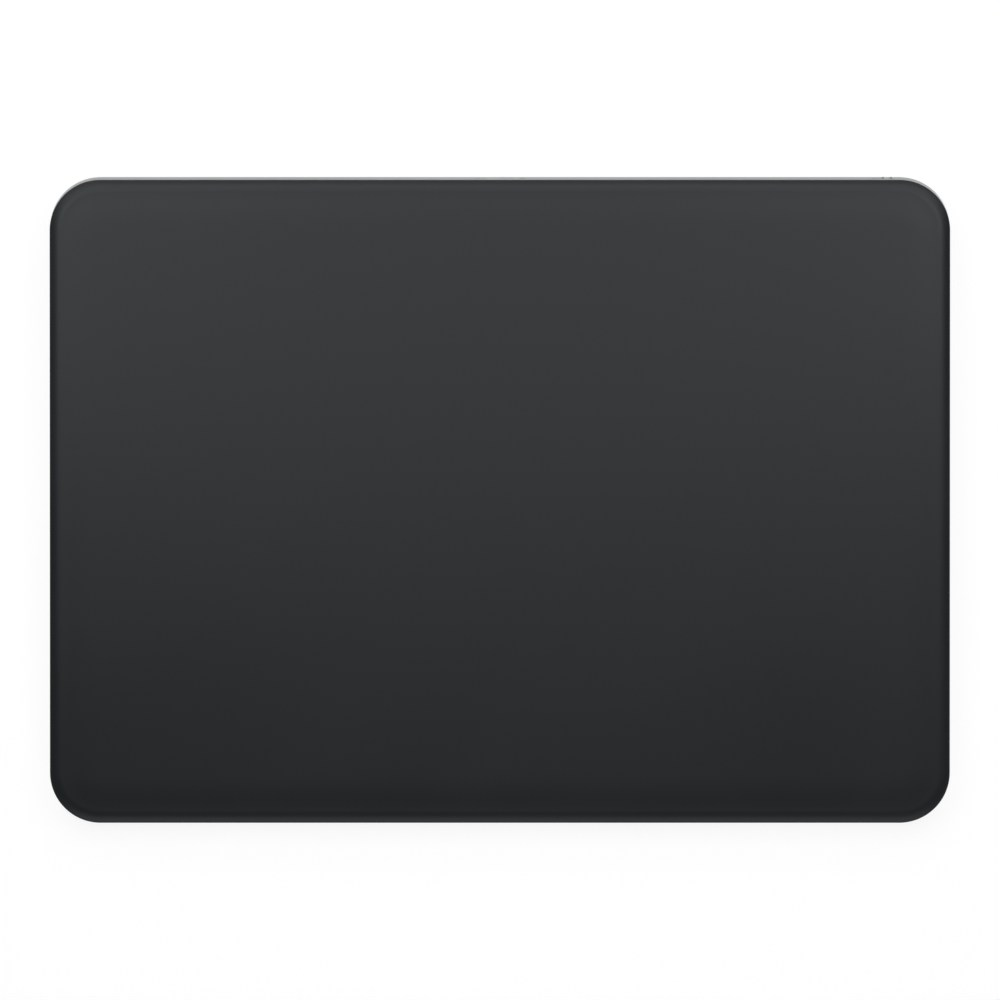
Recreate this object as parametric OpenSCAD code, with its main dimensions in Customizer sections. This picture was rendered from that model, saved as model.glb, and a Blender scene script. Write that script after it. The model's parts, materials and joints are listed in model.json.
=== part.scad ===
// Low wedge-shaped touch pad: a matte glass top floats on four force-sensing springs above a metal
// housing that holds a battery, a logic board, a haptic actuator, a charging port and a power switch.
// Sizes are in millimetres. +Z is up, +Y points to the rear wall with the port and the switch, and the
// origin lies on the desk under the middle of the part. Most pieces are drawn in the deck frame, whose
// XY plane is the sloping top of the glass with its origin in the middle of it.

/* [Body] */
// Width of the glass and of the housing
body_w = 160; // [156:1:180]
// Depth of the glass along its slope
glass_d = 114.5; // [112:0.5:122]
// Height of the glass at its front edge
front_h = 4.9; // [4.8:0.1:5.6]
// Height of the glass at its rear edge
rear_h = 11; // [10.7:0.1:12]
// Radius of the four corners seen from above
corner_r = 9; // [7:0.5:9.5]
// Thickness of the housing walls
wall_t = 1.8; // [1.2:0.1:2.2]
// Thickness of the housing floor
floor_t = 1; // [0.8:0.1:1.1]
// Radius of the rounded edge under the housing
bottom_round = 1.5; // [1:0.1:2]
// How far inside that round the wall meets it
round_margin = 0.3; // [0.2:0.05:0.5]

/* [Touch stack] */
// Thickness of the glass
glass_t = 1.1; // [0.9:0.05:1.2]
// Width of the rounded edge on the glass
glass_edge_w = 2.2; // [1:0.1:3]
// Drop of the rounded edge on the glass
glass_edge_drop = 0.55; // [0.2:0.05:0.7]
// Thickness of the adhesive sheet under the glass
adhesive_t = 0.1; // [0.05:0.01:0.15]
// Distance from the outline to the adhesive sheet
adhesive_inset = 2.2; // [2:0.1:3]
// Thickness of the touch sensor board
sensor_t = 0.7; // [0.6:0.05:0.8]
// Gap between the sensor board and the housing walls
sensor_side_gap = 0.8; // [0.5:0.1:1.2]
// Strip along the rear wall left free of the sensor for the antenna
antenna_strip_d = 4.6; // [4.2:0.1:6]
// Thickness of the steel stiffener plate
stiffener_t = 0.4; // [0.3:0.05:0.5]
// Distance from the sensor board's edge to the stiffener plate
stiffener_inset = 1.4; // [0.5:0.1:3]
// Gap around the sensor board's socket in the stiffener plate
window_gap = 0.8; // [0.4:0.1:1.2]
// Radius of the holes in the stiffener over the spring screws
access_r = 2; // [1.6:0.1:2.5]

/* [Suspension] */
// Press travel of the glass at full force
press_travel = 0.2; // [0.1:0.01:0.25]
// Sideways travel of the glass each way as the actuator clicks
shift_travel = 0.12; // [0.05:0.01:0.2]
// Room left between the glass and the rim at full press
rim_clear = 0.12; // [0.1:0.01:0.2]
// Width of the dust gasket on the rim
gasket_w = 0.7; // [0.4:0.05:1]
// Distance from the outline to the dust gasket
gasket_inset = 0.5; // [0.3:0.05:0.8]
// Thickness of the isolator pads on the spring tips
pad_t = 0.6; // [0.4:0.05:0.8]
// Length of an isolator pad along its spring
pad_l = 5.4; // [4:0.1:7]
// Distance from the edges of a spring's tip to its isolator pad
pad_inset = 0.5; // [0.2:0.05:1]
// Thickness of the force springs
beam_t = 0.5; // [0.4:0.05:0.6]
// Width of a force spring
beam_w = 8; // [7:0.1:9]
// Distance from the side of the glass to the middle of a force spring
beam_x = 14; // [13:0.5:18]
// Distance from the front or rear edge of the glass to the clamped end of a force spring
beam_root_y = 37.25; // [33.25:0.5:39.25]
// Distance from the front or rear edge of the glass to the tip of a force spring
beam_tip_y = 12.25; // [11.75:0.5:14.25]
// Length of the clamped end of a force spring
beam_seat_l = 5.4; // [4.6:0.1:6]
// Radius of the corners of springs, pads and bracket
plate_round = 1; // [0.5:0.05:1.2]
// Width of the waist that carries the strain gauge
waist_w = 4; // [3:0.1:5]
// Length of the straight waist
waist_l = 4; // [3:0.1:5]
// Spacing of the two screws in a force spring
beam_screw_gap = 4.2; // [3.4:0.1:4.6]
// Thickness of a strain gauge
gauge_t = 0.08; // [0.05:0.01:0.12]
// Length of a strain gauge
gauge_l = 4; // [2:0.1:5]
// Width of a strain gauge
gauge_w = 2.6; // [2:0.1:2.9]

/* [Feet] */
// Radius of the rubber feet
foot_r = 4.6; // [3:0.1:6]
// Height of the housing above the desk
foot_h = 0.5; // [0.3:0.05:0.7]
// Depth of the recess that holds a foot
foot_sink = 0.4; // [0.2:0.05:0.5]
// Rounding at the lower edge of a foot
foot_round = 0.25; // [0.1:0.05:0.3]
// Distance from the side of the glass to the middle of a foot
foot_x = 14; // [10:1:30]
// Distance from the front or rear edge of the glass to the middle of a foot
foot_y = 11.25; // [9.25:0.5:17.25]

/* [Haptic actuator] */
// Length of the laminated core
core_l = 44; // [40:0.5:46]
// Width of the laminated core
core_w = 6.4; // [5:0.1:7]
// Thickness of the laminated core
core_t = 1.05; // [0.8:0.05:1.1]
// Build of the winding around the core
winding_t = 0.4; // [0.3:0.05:0.45]
// Length of each coil
coil_l = 15; // [10:0.5:17]
// Width of the saddle under the middle of the core
saddle_l = 6; // [3:0.1:8]
// Room left between the core's end and an armature at full shift
air_clear = 0.28; // [0.2:0.01:0.4]
// Length of an armature
armature_l = 2; // [1:0.1:2.4]
// Height of an armature under the stiffener
armature_h = 2.1; // [1.5:0.1:2.2]
// Length of the bracket under the coils
bracket_l = 65; // [64.5:0.5:68]
// Width of the bracket under the coils
bracket_w = 11; // [10:0.1:12]
// Thickness of the bracket under the coils
bracket_t = 0.5; // [0.4:0.05:0.55]
// Room between the coils and the pressed stiffener
coil_clear = 0.32; // [0.3:0.01:0.4]
// Gap between the bracket and the battery cell or the logic board, whichever is nearer
bracket_gap = 3.6; // [3.2:0.1:4.4]
// Side of the square terminal on the bracket
terminal_side = 3.4; // [2.8:0.1:3.8]
// Gap between the right armature and the terminal
terminal_gap = 1; // [0.6:0.05:1.4]

/* [Battery] */
// Width of the battery cell
cell_w = 78; // [60:1:80]
// Depth of the battery cell
cell_d = 42; // [36:0.5:43]
// Thickness of the battery cell
cell_t = 3.5; // [2.5:0.1:3.6]
// Rounding of the battery cell's edges
cell_round = 0.9; // [0.5:0.05:1.2]
// Thickness of the adhesive sheet under the battery cell
cell_adhesive_t = 0.1; // [0.05:0.01:0.15]
// Distance from that sheet's edge to the cell's edge
cell_adhesive_inset = 3; // [2:0.5:8]
// Gap between the cell's protection board and the logic board
guard_gap = 0.8; // [0.6:0.05:1.2]
// Distance from the logic board's rear edge to the cell's rear edge
cell_rear_gap = 6.5; // [6:0.1:8]
// Depth of the cell's protection board
guard_d = 20; // [12:0.5:22]
// Width of the cell's protection board
guard_w = 2.2; // [1.5:0.1:2.4]
// Height of the cell's protection board
guard_h = 2.1; // [1.5:0.1:2.2]

/* [Logic board] */
// Offset of the battery and the logic board, taken together, to the right of the middle
board_x = 0; // [-1:0.1:1]
// Width of the logic board
board_w = 27; // [26:0.5:28]
// Depth of the logic board
board_d = 48; // [47:0.5:50]
// Thickness of every circuit board
board_t = 0.8; // [0.6:0.05:0.9]
// Room above the logic board up to the stiffener
board_headroom = 2.6; // [2.4:0.05:2.8]
// Gap between the logic board and the rear wall
board_rear_gap = 5.45; // [5:0.05:6]
// Distance from the board's corners to its screws
board_screw_inset = 2.3; // [2:0.1:2.6]
// Distance from the board's rear edge to its rear screws
board_hole_rear = 6.6; // [6.2:0.1:7]
// Height of the cable sockets
socket_h = 0.5; // [0.4:0.05:0.7]
// Height of the sensor board's socket
sensor_socket_h = 0.7; // [0.6:0.05:0.8]
// Width of the sensor sockets
sensor_socket_w = 12; // [8:0.5:13]
// Depth of the sensor sockets
sensor_socket_d = 3.4; // [2.5:0.1:3.6]
// Distance from the board's front edge to the middle of the sensor socket
sensor_socket_front = 4.8; // [4.4:0.1:5.2]
// Length of the cable sockets along the board's sides
edge_socket_l = 3.6; // [3:0.1:3.8]
// Depth of the cable sockets along the board's sides
edge_socket_d = 3; // [2.8:0.1:3.2]
// Distance from those sockets to the board's sides
edge_socket_inset = 0.6; // [0.3:0.05:0.8]
// Distance from the board's front edge to the middle of the haptic socket
haptic_socket_front = 8.6; // [8.4:0.1:9]
// Distance from the board's front edge to the middle of the battery socket
battery_socket_front = 17.4; // [17:0.1:18]
// Distance from the board's rear edge to the middle of the port and switch sockets
rear_socket_inset = 2.6; // [2.2:0.1:2.8]
// Distance from the board's rear edge to the shield can
can_rear_gap = 8; // [7.8:0.1:8.4]
// Side of the shield can
can_side = 20; // [18:0.5:20.5]
// Height of the shield can
can_h = 1.6; // [1.2:0.05:1.8]
// Sheet thickness of the shield can
can_t = 0.2; // [0.15:0.01:0.3]
// Side of the main chip
main_chip_side = 8; // [6:0.1:8.4]
// Side of the radio chip
radio_chip_side = 5; // [4:0.1:5.4]
// Side of the touch chip
touch_chip_side = 6.4; // [5:0.1:6.6]
// Side of the charger chip
charger_chip_side = 3.4; // [2.5:0.1:3.6]
// Height of the chips
chip_h = 0.8; // [0.6:0.05:1]
// Distance of the chips under the shield can from its middle, both ways
can_chip_offset = 4.6; // [4.5:0.05:4.9]
// Distance from the shield can to the middle of the row of chips in front of it
chip_row_gap = 6.4; // [6:0.1:6.6]
// Distance from the board's right edge to the middle of the touch chip
touch_chip_inset = 5.4; // [4.5:0.1:6]
// Distance from the board's left edge to the middle of the charger chip
charger_inset = 11.4; // [11:0.1:12]
// Distance from the board's left edge to the middle of the power inductor
inductor_inset = 6.8; // [6.6:0.1:7]
// Side of the power inductor
inductor_side = 4; // [3:0.1:4.2]
// Height of the power inductor
inductor_h = 1.4; // [1:0.05:1.6]
// Number of capacitors in the row beside the shield can
capacitor_count = 10; // [4:1:11]
// Length of a capacitor
capacitor_l = 1; // [0.6:0.1:1.2]
// Width and height of a capacitor
capacitor_w = 0.5; // [0.3:0.05:0.6]
// Distance from the shield can to the middle of the row of capacitors
capacitor_gap = 1.4; // [0.9:0.05:1.6]
// Spacing of the capacitors
capacitor_pitch = 1.8; // [1.4:0.05:1.8]

/* [Cables and antenna] */
// Thickness of the flat cables
flex_t = 0.12; // [0.08:0.01:0.2]
// Width of the flat cables
flex_w = 2.6; // [2:0.1:2.8]
// Width of the sensor's flat cable
sensor_flex_w = 10; // [6:0.5:11]
// Length of the antenna
antenna_l = 32; // [26:0.5:34]
// Depth of the antenna
antenna_d = 3.4; // [3:0.1:3.5]
// Thickness of the antenna's carrier
antenna_t = 1.4; // [1:0.05:1.45]
// Distance of the antenna's middle from the middle of the part
antenna_x = 30; // [24:0.5:34]
// Gap between the antenna and the rear wall
antenna_gap = 0.2; // [0.1:0.01:0.3]
// Distance of the antenna's feed tab from the antenna's middle
feed_offset = 8; // [4:0.5:10]
// Width of the antenna's feed tab
feed_w = 4; // [2:0.1:5]
// Thickness of the antenna's feed tab
feed_t = 0.35; // [0.2:0.01:0.4]
// Depth of the antenna's spring clip
clip_d = 1.8; // [1.4:0.05:2]
// Width of the antenna's spring clip
clip_w = 2; // [1.2:0.1:2.6]
// Distance from the board's rear edge to the middle of the spring clip
clip_inset = 1.4; // [1.2:0.05:1.8]
// Sheet thickness of the antenna's spring clip
clip_t = 0.15; // [0.1:0.01:0.2]
// Width of the two ledges that carry the antenna
ledge_w = 4; // [3:0.1:6]
// Thickness of the two ledges that carry the antenna
ledge_t = 0.8; // [0.6:0.05:1]

/* [Charging port] */
// Outer width of the port's steel sleeve
port_w = 8.94; // [8.9:0.01:9.2]
// Outer height of the port's steel sleeve
port_h = 3.16; // [3.1:0.01:3.3]
// Sheet thickness of the port's sleeve
sleeve_t = 0.3; // [0.25:0.01:0.32]
// Length of the port's sleeve
sleeve_l = 7.3; // [6.5:0.1:7.6]
// How far the sleeve's mouth lies inside the rear wall
sleeve_recess = 0.1; // [0:0.05:0.3]
// Depth of the port's axis below the top of the glass
port_drop = 5.9; // [5.7:0.05:6.1]
// Width of the port's tongue
tongue_w = 6.69; // [6.5:0.01:6.8]
// Thickness of the port's tongue
tongue_t = 0.7; // [0.6:0.01:0.75]
// Distance from the sleeve's mouth to the tip of the tongue
tongue_recess = 0.9; // [0.6:0.05:1.2]
// Length of the insulator behind the tongue
insulator_l = 2.2; // [1.5:0.1:3]
// Number of contacts on each face of the tongue
contact_count = 12; // [6:1:12]
// Spacing of the contacts
contact_pitch = 0.5; // [0.4:0.01:0.52]
// Width of a contact
contact_w = 0.25; // [0.15:0.01:0.3]
// Thickness of a contact
contact_t = 0.05; // [0.03:0.01:0.1]
// Length of a contact
contact_l = 3; // [2:0.1:3.4]
// Width of the port's board
port_board_w = 22; // [21:0.5:24]
// Depth of the port's board
port_board_d = 9.6; // [9:0.1:9.8]
// Gap between the port's board and the rear wall
port_board_gap = 0.3; // [0.2:0.05:0.5]
// Distance from the port board's front edge to its screws
port_screw_front = 2.9; // [2.5:0.1:3.2]
// Length of the port cable's end on the port's board
port_cable_hold = 1.2; // [0.8:0.1:1.6]
// Distance of the port board's screws from its middle
port_screw_x = 8.6; // [8:0.1:9]

/* [Power switch] */
// Distance from the right side of the glass to the middle of the switch knob
knob_x = 11.2; // [11:0.1:14]
// Length of the switch knob
knob_l = 2.2; // [2:0.05:2.4]
// Height of the switch knob
knob_h = 2; // [1.6:0.05:2.1]
// Travel of the switch knob
switch_travel = 1.6; // [1.2:0.05:1.7]
// Gap around the switch knob in its slot
knob_gap = 0.1; // [0.06:0.01:0.15]
// How far the knob's face lies inside the rear wall
knob_recess = 0.25; // [0.1:0.05:0.4]
// How far the knob's two ridges stand out of the rear wall
ridge_out = 0.25; // [0.1:0.01:0.35]
// Spacing of the knob's two ridges
ridge_gap = 1.42; // [1:0.02:1.5]
// Width of a ridge
ridge_w = 0.4; // [0.2:0.02:0.45]
// Height of the ridges
ridge_h = 1.2; // [0.6:0.05:1.4]
// Length of the slider plate behind the slot
slider_l = 5.6; // [5.4:0.05:5.8]
// Height of the slider plate behind the slot
slider_h = 3; // [2.6:0.05:3.2]
// Thickness of the slider plate
slider_t = 0.6; // [0.4:0.05:0.8]
// Gap between the slider plate and the rear wall
slider_gap = 0.25; // [0.2:0.01:0.35]
// Thickness of the coloured film on the slider plate
film_t = 0.05; // [0.03:0.01:0.08]
// Side of the stem that works the switch
stem_w = 1; // [0.8:0.05:1.2]
// Length of that stem
stem_l = 1.2; // [0.8:0.05:1.4]
// Gap between the moving slider and the switch body
switch_gap = 0.2; // [0.15:0.01:0.3]
// Length of the switch body
switch_l = 7; // [6.5:0.1:7.4]
// Depth of the switch body
switch_d = 3; // [2.6:0.1:3.2]
// Height of the switch body
switch_h = 3; // [2.6:0.1:3.2]
// Width of the switch board
switch_board_w = 14; // [13.5:0.1:14.4]
// Depth of the switch board
switch_board_d = 7.9; // [7.5:0.1:8]
// How far the switch board reaches past the switch body
switch_board_side = 1; // [0.5:0.1:1.2]
// Distance from the switch board's edges to its screws
switch_screw_inset = 2.1; // [1.8:0.1:2.3]
// Length of the switch cable's end on the switch board
switch_cable_hold = 3.4; // [2:0.1:4]

/* [Screws and fits] */
// Radius of the screws
screw_r = 0.6; // [0.5:0.01:0.65]
// Length of the screws under their heads
screw_l = 1.5; // [1.3:0.05:1.6]
// Radius of the screw heads
screw_head_r = 1.15; // [0.9:0.01:1.2]
// Height of the screw heads
screw_head_t = 0.45; // [0.35:0.01:0.5]
// Radius of the six-sided drive in the screw heads
drive_r = 0.5; // [0.3:0.01:0.6]
// Depth of the drive in the screw heads
drive_depth = 0.25; // [0.1:0.01:0.3]
// Radius of the round seats under the boards
seat_r = 1.8; // [1.5:0.05:1.9]
// Clearance around a screw in its thread hole
thread_clear = 0.03; // [0.01:0.01:0.06]
// Clearance around a screw in a plate
plate_clear = 0.1; // [0.05:0.01:0.2]
// Depth of a thread hole past the end of its screw
hole_spare = 0.15; // [0.1:0.01:0.2]
// Clearance around pieces that are set into an opening
set_clear = 0.06; // [0.02:0.01:0.1]
// Gap between a flat cable's bend and the board beside it
bend_gap = 1.1; // [0.8:0.05:1.3]

/* [Hidden] */
$fn = 64;

LEFT = -1;
RIGHT = 1;
FRONT = -1;
REAR = 1;
SIDES = [-1, 1];

// Slope of the glass and place of the deck frame
tilt = asin((rear_h - front_h) / glass_d);
crease_h = bottom_round - sqrt(pow(bottom_round, 2) - pow(bottom_round - round_margin, 2));
wall_lean = (rear_h - foot_h - crease_h) * tan(tilt);
deck_y = -(glass_edge_drop * sin(tilt) + wall_lean) / 2;
deck_z = (front_h + rear_h) / 2;
edge_arc_r = (pow(glass_edge_w, 2) + pow(glass_edge_drop, 2)) / (2 * glass_edge_drop);

// Levels in the deck frame, from the glass down
rim_z = -(glass_t + press_travel + rim_clear);
adhesive_z = -(glass_t + adhesive_t);
sensor_z = adhesive_z - sensor_t;
stack_z = sensor_z - stiffener_t;
beam_top_z = stack_z - pad_t;
beam_z = beam_top_z - beam_t;
coil_h = core_t + 2 * winding_t;
coil_top_z = stack_z - press_travel - coil_clear;
bracket_top_z = coil_top_z - coil_h;
board_top_z = stack_z - board_headroom;
socket_top_z = board_top_z + socket_h;
port_z = -port_drop;
port_board_top_z = port_z - port_h / 2;
switch_board_top_z = port_z - switch_h / 2;
seat_depth = 2 * rear_h;

// Sides and ends of the deck frame that other places are measured from
side_x = body_w / 2;
rear_out_y = glass_d / 2;
rear_in_y = rear_out_y - wall_t;
sensor_front_y = -rear_in_y + sensor_side_gap;
sensor_rear_y = rear_in_y - antenna_strip_d;

// Force springs and feet
spring_x = side_x - beam_x;
spring_root_y = rear_out_y - beam_root_y;
spring_tip_y = rear_out_y - beam_tip_y;
spring_seat_y = spring_root_y + beam_seat_l / 2;
spring_pad_y = spring_tip_y - pad_inset - pad_l / 2;
waist_y = (spring_root_y + beam_seat_l + spring_pad_y - pad_l / 2) / 2;
foot_mid_x = side_x - foot_x;
foot_mid_y = rear_out_y - foot_y;

// The battery and the logic board lie side by side, with the battery's protection board between them
group_w = cell_w + guard_w + guard_gap + board_w;
cell_x0 = board_x - group_w / 2;
cell_x1 = cell_x0 + cell_w;
board_x0 = cell_x1 + guard_w + guard_gap;
board_x1 = board_x0 + board_w;
board_y1 = rear_in_y - board_rear_gap;
board_y0 = board_y1 - board_d;

// Battery, which lies flat on the housing floor
floor_z = foot_h + floor_t;
cell_z = floor_z + cell_adhesive_t;
cell_y1 = board_y1 - cell_rear_gap;
cell_y0 = cell_y1 - cell_d;
cell_front_y = (cell_y0 - deck_y) * cos(tilt) + (cell_z - deck_z) * sin(tilt);
cell_cable_x = cell_x1 + set_clear;

// Pieces on the logic board
can_x = board_x0 + board_w / 2;
can_y = board_y1 - can_rear_gap - can_side / 2;
can_front_y = can_y - can_side / 2;
sensor_socket_x = can_x;
sensor_socket_y = board_y0 + sensor_socket_front;
chip_row_y = can_front_y - chip_row_gap;
haptic_socket_y = board_y0 + haptic_socket_front;
battery_socket_y = board_y0 + battery_socket_front;
rear_socket_y = board_y1 - rear_socket_inset;
left_socket_x = board_x0 + edge_socket_inset + edge_socket_l / 2;
right_socket_x = board_x1 - edge_socket_inset - edge_socket_l / 2;
board_hole_x = [board_x0 + board_screw_inset, board_x1 - board_screw_inset];
board_hole_y = [board_y0 + board_screw_inset, board_y1 - board_hole_rear];

// Haptic actuator, whose terminal lies under the cable that runs beside the battery cell
armature_x = core_l / 2 + shift_travel + air_clear + armature_l / 2;
coil_x = (saddle_l + coil_l) / 2 + set_clear;
terminal_x = armature_x + armature_l / 2 + terminal_gap + terminal_side / 2;
haptic_x = cell_cable_x + flex_w / 2 - terminal_x;
bracket_y = min(board_y0, cell_front_y) - bracket_gap - bracket_w / 2;

// Antenna and its clip
antenna_top_z = adhesive_z - press_travel - rim_clear;
antenna_z = antenna_top_z - antenna_t;
antenna_y1 = rear_in_y - antenna_gap;
antenna_y0 = antenna_y1 - antenna_d;
feed_x = antenna_x + feed_offset;
clip_y = board_y1 - clip_inset;
feed_y0 = clip_y - clip_d / 2;

// Charging port
mouth_y = rear_out_y - sleeve_recess;
sleeve_y0 = mouth_y - sleeve_l;
tongue_y1 = mouth_y - tongue_recess;
insulator_y1 = sleeve_y0 + insulator_l;
port_board_y1 = rear_in_y - port_board_gap;
port_board_y0 = port_board_y1 - port_board_d;

// Power switch
knob_mid_x = side_x - knob_x;
knob_face_y = rear_out_y - knob_recess;
ridge_y1 = rear_out_y + ridge_out;
slider_y1 = rear_in_y - slider_gap;
slider_y0 = slider_y1 - slider_t;
switch_y1 = slider_y0 - switch_gap;
switch_x = knob_mid_x - switch_travel / 2;
slot_l = knob_l + switch_travel + 2 * knob_gap;
slot_h = knob_h + 2 * knob_gap;
film_l = (slider_l - knob_l) / 2 - 2 * knob_gap;
switch_board_x1 = switch_x + switch_l / 2 + switch_board_side;
switch_board_x0 = switch_board_x1 - switch_board_w;
switch_board_y0 = switch_y1 - switch_board_d;

// Screws: x, y, level of the seat under the head, thickness of the plate that the head holds down
beam_sites = [
    for (sx = SIDES, sy = SIDES, k = SIDES)
        [sx * spring_x + k * beam_screw_gap / 2, sy * spring_seat_y, beam_top_z, beam_t]
];
board_sites = [for (x = board_hole_x, y = board_hole_y) [x, y, board_top_z, board_t]];
bracket_sites = [
    for (sx = SIDES, sy = SIDES)
        [
            haptic_x + sx * (bracket_l / 2 - board_screw_inset),
            bracket_y + sy * (bracket_w / 2 - board_screw_inset),
            bracket_top_z,
            bracket_t
        ]
];
port_sites = [
    for (sx = SIDES)
        [sx * port_screw_x, port_board_y0 + port_screw_front, port_board_top_z, board_t]
];
switch_sites = [
    [switch_board_x0 + switch_screw_inset, switch_y1 - switch_screw_inset, switch_board_top_z, board_t],
    [switch_board_x1 - switch_screw_inset, switch_board_y0 + switch_screw_inset, switch_board_top_z, board_t]
];
round_seat_sites = concat(board_sites, bracket_sites, port_sites, switch_sites);
screw_sites = concat(beam_sites, round_seat_sites);

// Places its children in the deck frame
module on_deck() {
    translate([0, deck_y, deck_z]) rotate([tilt, 0, 0]) children();
}

// A flat shape of the given size with true round corners
module rounded_rect(w, d, r) {
    square([w - 2 * r, d], center = true);
    square([w, d - 2 * r], center = true);
    for (sx = SIDES, sy = SIDES)
        translate([sx * (w / 2 - r), sy * (d / 2 - r)]) circle(r);
}

// A plate with round corners, from its top level down
module slab(w, d, r, top, t) {
    translate([0, 0, top - t]) linear_extrude(t) rounded_rect(w, d, r);
}

// A box between two corners
module block(low, high) {
    translate(low) cube(high - low);
}

// A box centred sideways and in depth, standing on a level
module chip(x, y, z, w, d, h) {
    translate([x - w / 2, y - d / 2, z]) cube([w, d, h]);
}

// A bar along Y with a section w wide and h high whose ends are half round
module stadium_bar(w, h, y0, y1) {
    translate([0, y1, 0]) rotate([90, 0, 0]) linear_extrude(y1 - y0) {
        square([w - h, h], center = true);
        for (sx = SIDES)
            translate([sx * (w - h) / 2, 0]) circle(h / 2);
    }
}

// A plate whose rim follows a flat profile: x runs out from a corner's centre and y is the height
module swept_plate(w, d, r, z0, t) {
    translate([-(w / 2 - r), -(d / 2 - r), z0]) cube([w - 2 * r, d - 2 * r, t]);
    for (k = [0 : 3]) {
        along = (k % 2 == 0 ? w : d) - 2 * r;
        out = (k % 2 == 0 ? d : w) / 2 - r;
        rotate([0, 0, 90 * k]) {
            translate([-along / 2, out, 0]) rotate([90, 0, 90]) linear_extrude(along) children();
            translate([along / 2, out, 0]) rotate_extrude(angle = 90) children();
        }
    }
}

// Holes for screws through the plate that they hold down
module plate_holes(sites) {
    for (s = sites)
        translate([s.x, s.y, s.z - 2 * s[3]]) cylinder(r = screw_r + plate_clear, h = 3 * s[3]);
}

module glass_edge() {
    intersection() {
        translate([0, -glass_t]) square([corner_r, glass_t]);
        union() {
            translate([0, -glass_t]) square([corner_r - glass_edge_w, glass_t]);
            translate([corner_r - glass_edge_w, -edge_arc_r]) circle(edge_arc_r);
        }
    }
}

module touch_glass() {
    color("dimgray") on_deck()
        swept_plate(body_w, glass_d, corner_r, -glass_t, glass_t) glass_edge();
}

module glass_adhesive() {
    inset = adhesive_inset;
    color("black") on_deck()
        slab(body_w - 2 * inset, glass_d - 2 * inset, corner_r - inset, -glass_t, adhesive_t);
}

// Outline of the sensor board, drawn in by an inset
module sensor_outline(inset) {
    w = body_w - 2 * (wall_t + sensor_side_gap + inset);
    d = sensor_rear_y - sensor_front_y - 2 * inset;
    translate([0, (sensor_rear_y + sensor_front_y) / 2])
        rounded_rect(w, d, corner_r - wall_t - sensor_side_gap);
}

module sensor_board() {
    color("darkgreen") on_deck()
        translate([0, 0, sensor_z]) linear_extrude(sensor_t) sensor_outline(0);
}

module sensor_socket() {
    color("ivory") on_deck()
        chip(
            sensor_socket_x, sensor_socket_y, sensor_z - sensor_socket_h,
            sensor_socket_w, sensor_socket_d, sensor_socket_h
        );
}

module stiffener_plate() {
    color("lightgray") on_deck() difference() {
        translate([0, 0, stack_z]) linear_extrude(stiffener_t) sensor_outline(stiffener_inset);
        for (s = beam_sites)
            translate([s.x, s.y, stack_z - stiffener_t]) cylinder(r = access_r, h = 3 * stiffener_t);
        chip(
            sensor_socket_x, sensor_socket_y, stack_z - stiffener_t,
            sensor_socket_w + 2 * window_gap, sensor_socket_d + 2 * window_gap, 3 * stiffener_t
        );
    }
}

module armature(side) {
    color("gray") on_deck()
        chip(
            haptic_x + side * armature_x, bracket_y, stack_z - armature_h,
            armature_l, core_w, armature_h
        );
}

module isolator_pad(sx, sy) {
    color("darkslategray") on_deck()
        translate([sx * spring_x, sy * spring_pad_y, beam_top_z])
            linear_extrude(pad_t) rounded_rect(beam_w - 2 * pad_inset, pad_l, plate_round);
}

// Profile of the housing's lower edge: x runs out from a corner's centre, y is height above the underside
module bottom_edge(height) {
    square([corner_r - bottom_round, height]);
    translate([0, bottom_round]) square([corner_r, height - bottom_round]);
    translate([corner_r - bottom_round, bottom_round]) intersection() {
        circle(bottom_round);
        translate([0, -bottom_round]) square(bottom_round);
    }
}

module housing_outer() {
    w = body_w + 2 * round_margin;
    d = glass_d / cos(tilt) + 2 * round_margin;
    shift = deck_y + (deck_z - foot_h) * tan(tilt);
    intersection() {
        on_deck() slab(body_w, glass_d, corner_r, rim_z, seat_depth);
        translate([0, shift, foot_h])
            swept_plate(w, d, corner_r, 0, seat_depth) bottom_edge(seat_depth);
    }
}

// Everything above a level, wide enough for the whole part
module above(level) {
    translate([-body_w, -glass_d, level]) cube([2 * body_w, 2 * glass_d, 2 * seat_depth]);
}

module housing_cavity() {
    intersection() {
        on_deck()
            slab(
                body_w - 2 * wall_t, glass_d - 2 * wall_t, corner_r - wall_t,
                rim_z + wall_t, seat_depth + wall_t
            );
        above(floor_z);
    }
}

// Seats that rise from the floor to the plates that are screwed down on them
module seats() {
    for (sx = SIDES, sy = SIDES)
        chip(
            sx * spring_x, sy * spring_seat_y, beam_z - seat_depth,
            beam_w, beam_seat_l, seat_depth
        );
    for (s = round_seat_sites)
        translate([s.x, s.y, s.z - s[3] - seat_depth]) cylinder(r = seat_r, h = seat_depth);
}

module antenna_ledges() {
    for (side = SIDES) {
        x = antenna_x + side * (antenna_l - ledge_w) / 2;
        block(
            [x - ledge_w / 2, antenna_y0 + antenna_d / 3, antenna_z - ledge_t],
            [x + ledge_w / 2, rear_in_y + wall_t / 2, antenna_z]
        );
    }
}

module thread_holes() {
    for (s = screw_sites) {
        depth = screw_l - s[3] + hole_spare;
        translate([s.x, s.y, s.z - s[3] - depth]) cylinder(r = screw_r + thread_clear, h = depth);
    }
}

module port_opening() {
    translate([0, 0, port_z])
        stadium_bar(
            port_w + 2 * set_clear, port_h + 2 * set_clear,
            rear_in_y - wall_t, rear_out_y + wall_t
        );
}

module switch_slot() {
    translate([switch_x, 0, port_z])
        stadium_bar(slot_l, slot_h, rear_in_y - wall_t, rear_out_y + wall_t);
}

module foot_recesses() {
    for (sx = SIDES, sy = SIDES)
        translate([sx * foot_mid_x, sy * foot_mid_y, foot_h - floor_t])
            cylinder(r = foot_r + set_clear, h = floor_t + foot_sink);
}

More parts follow.
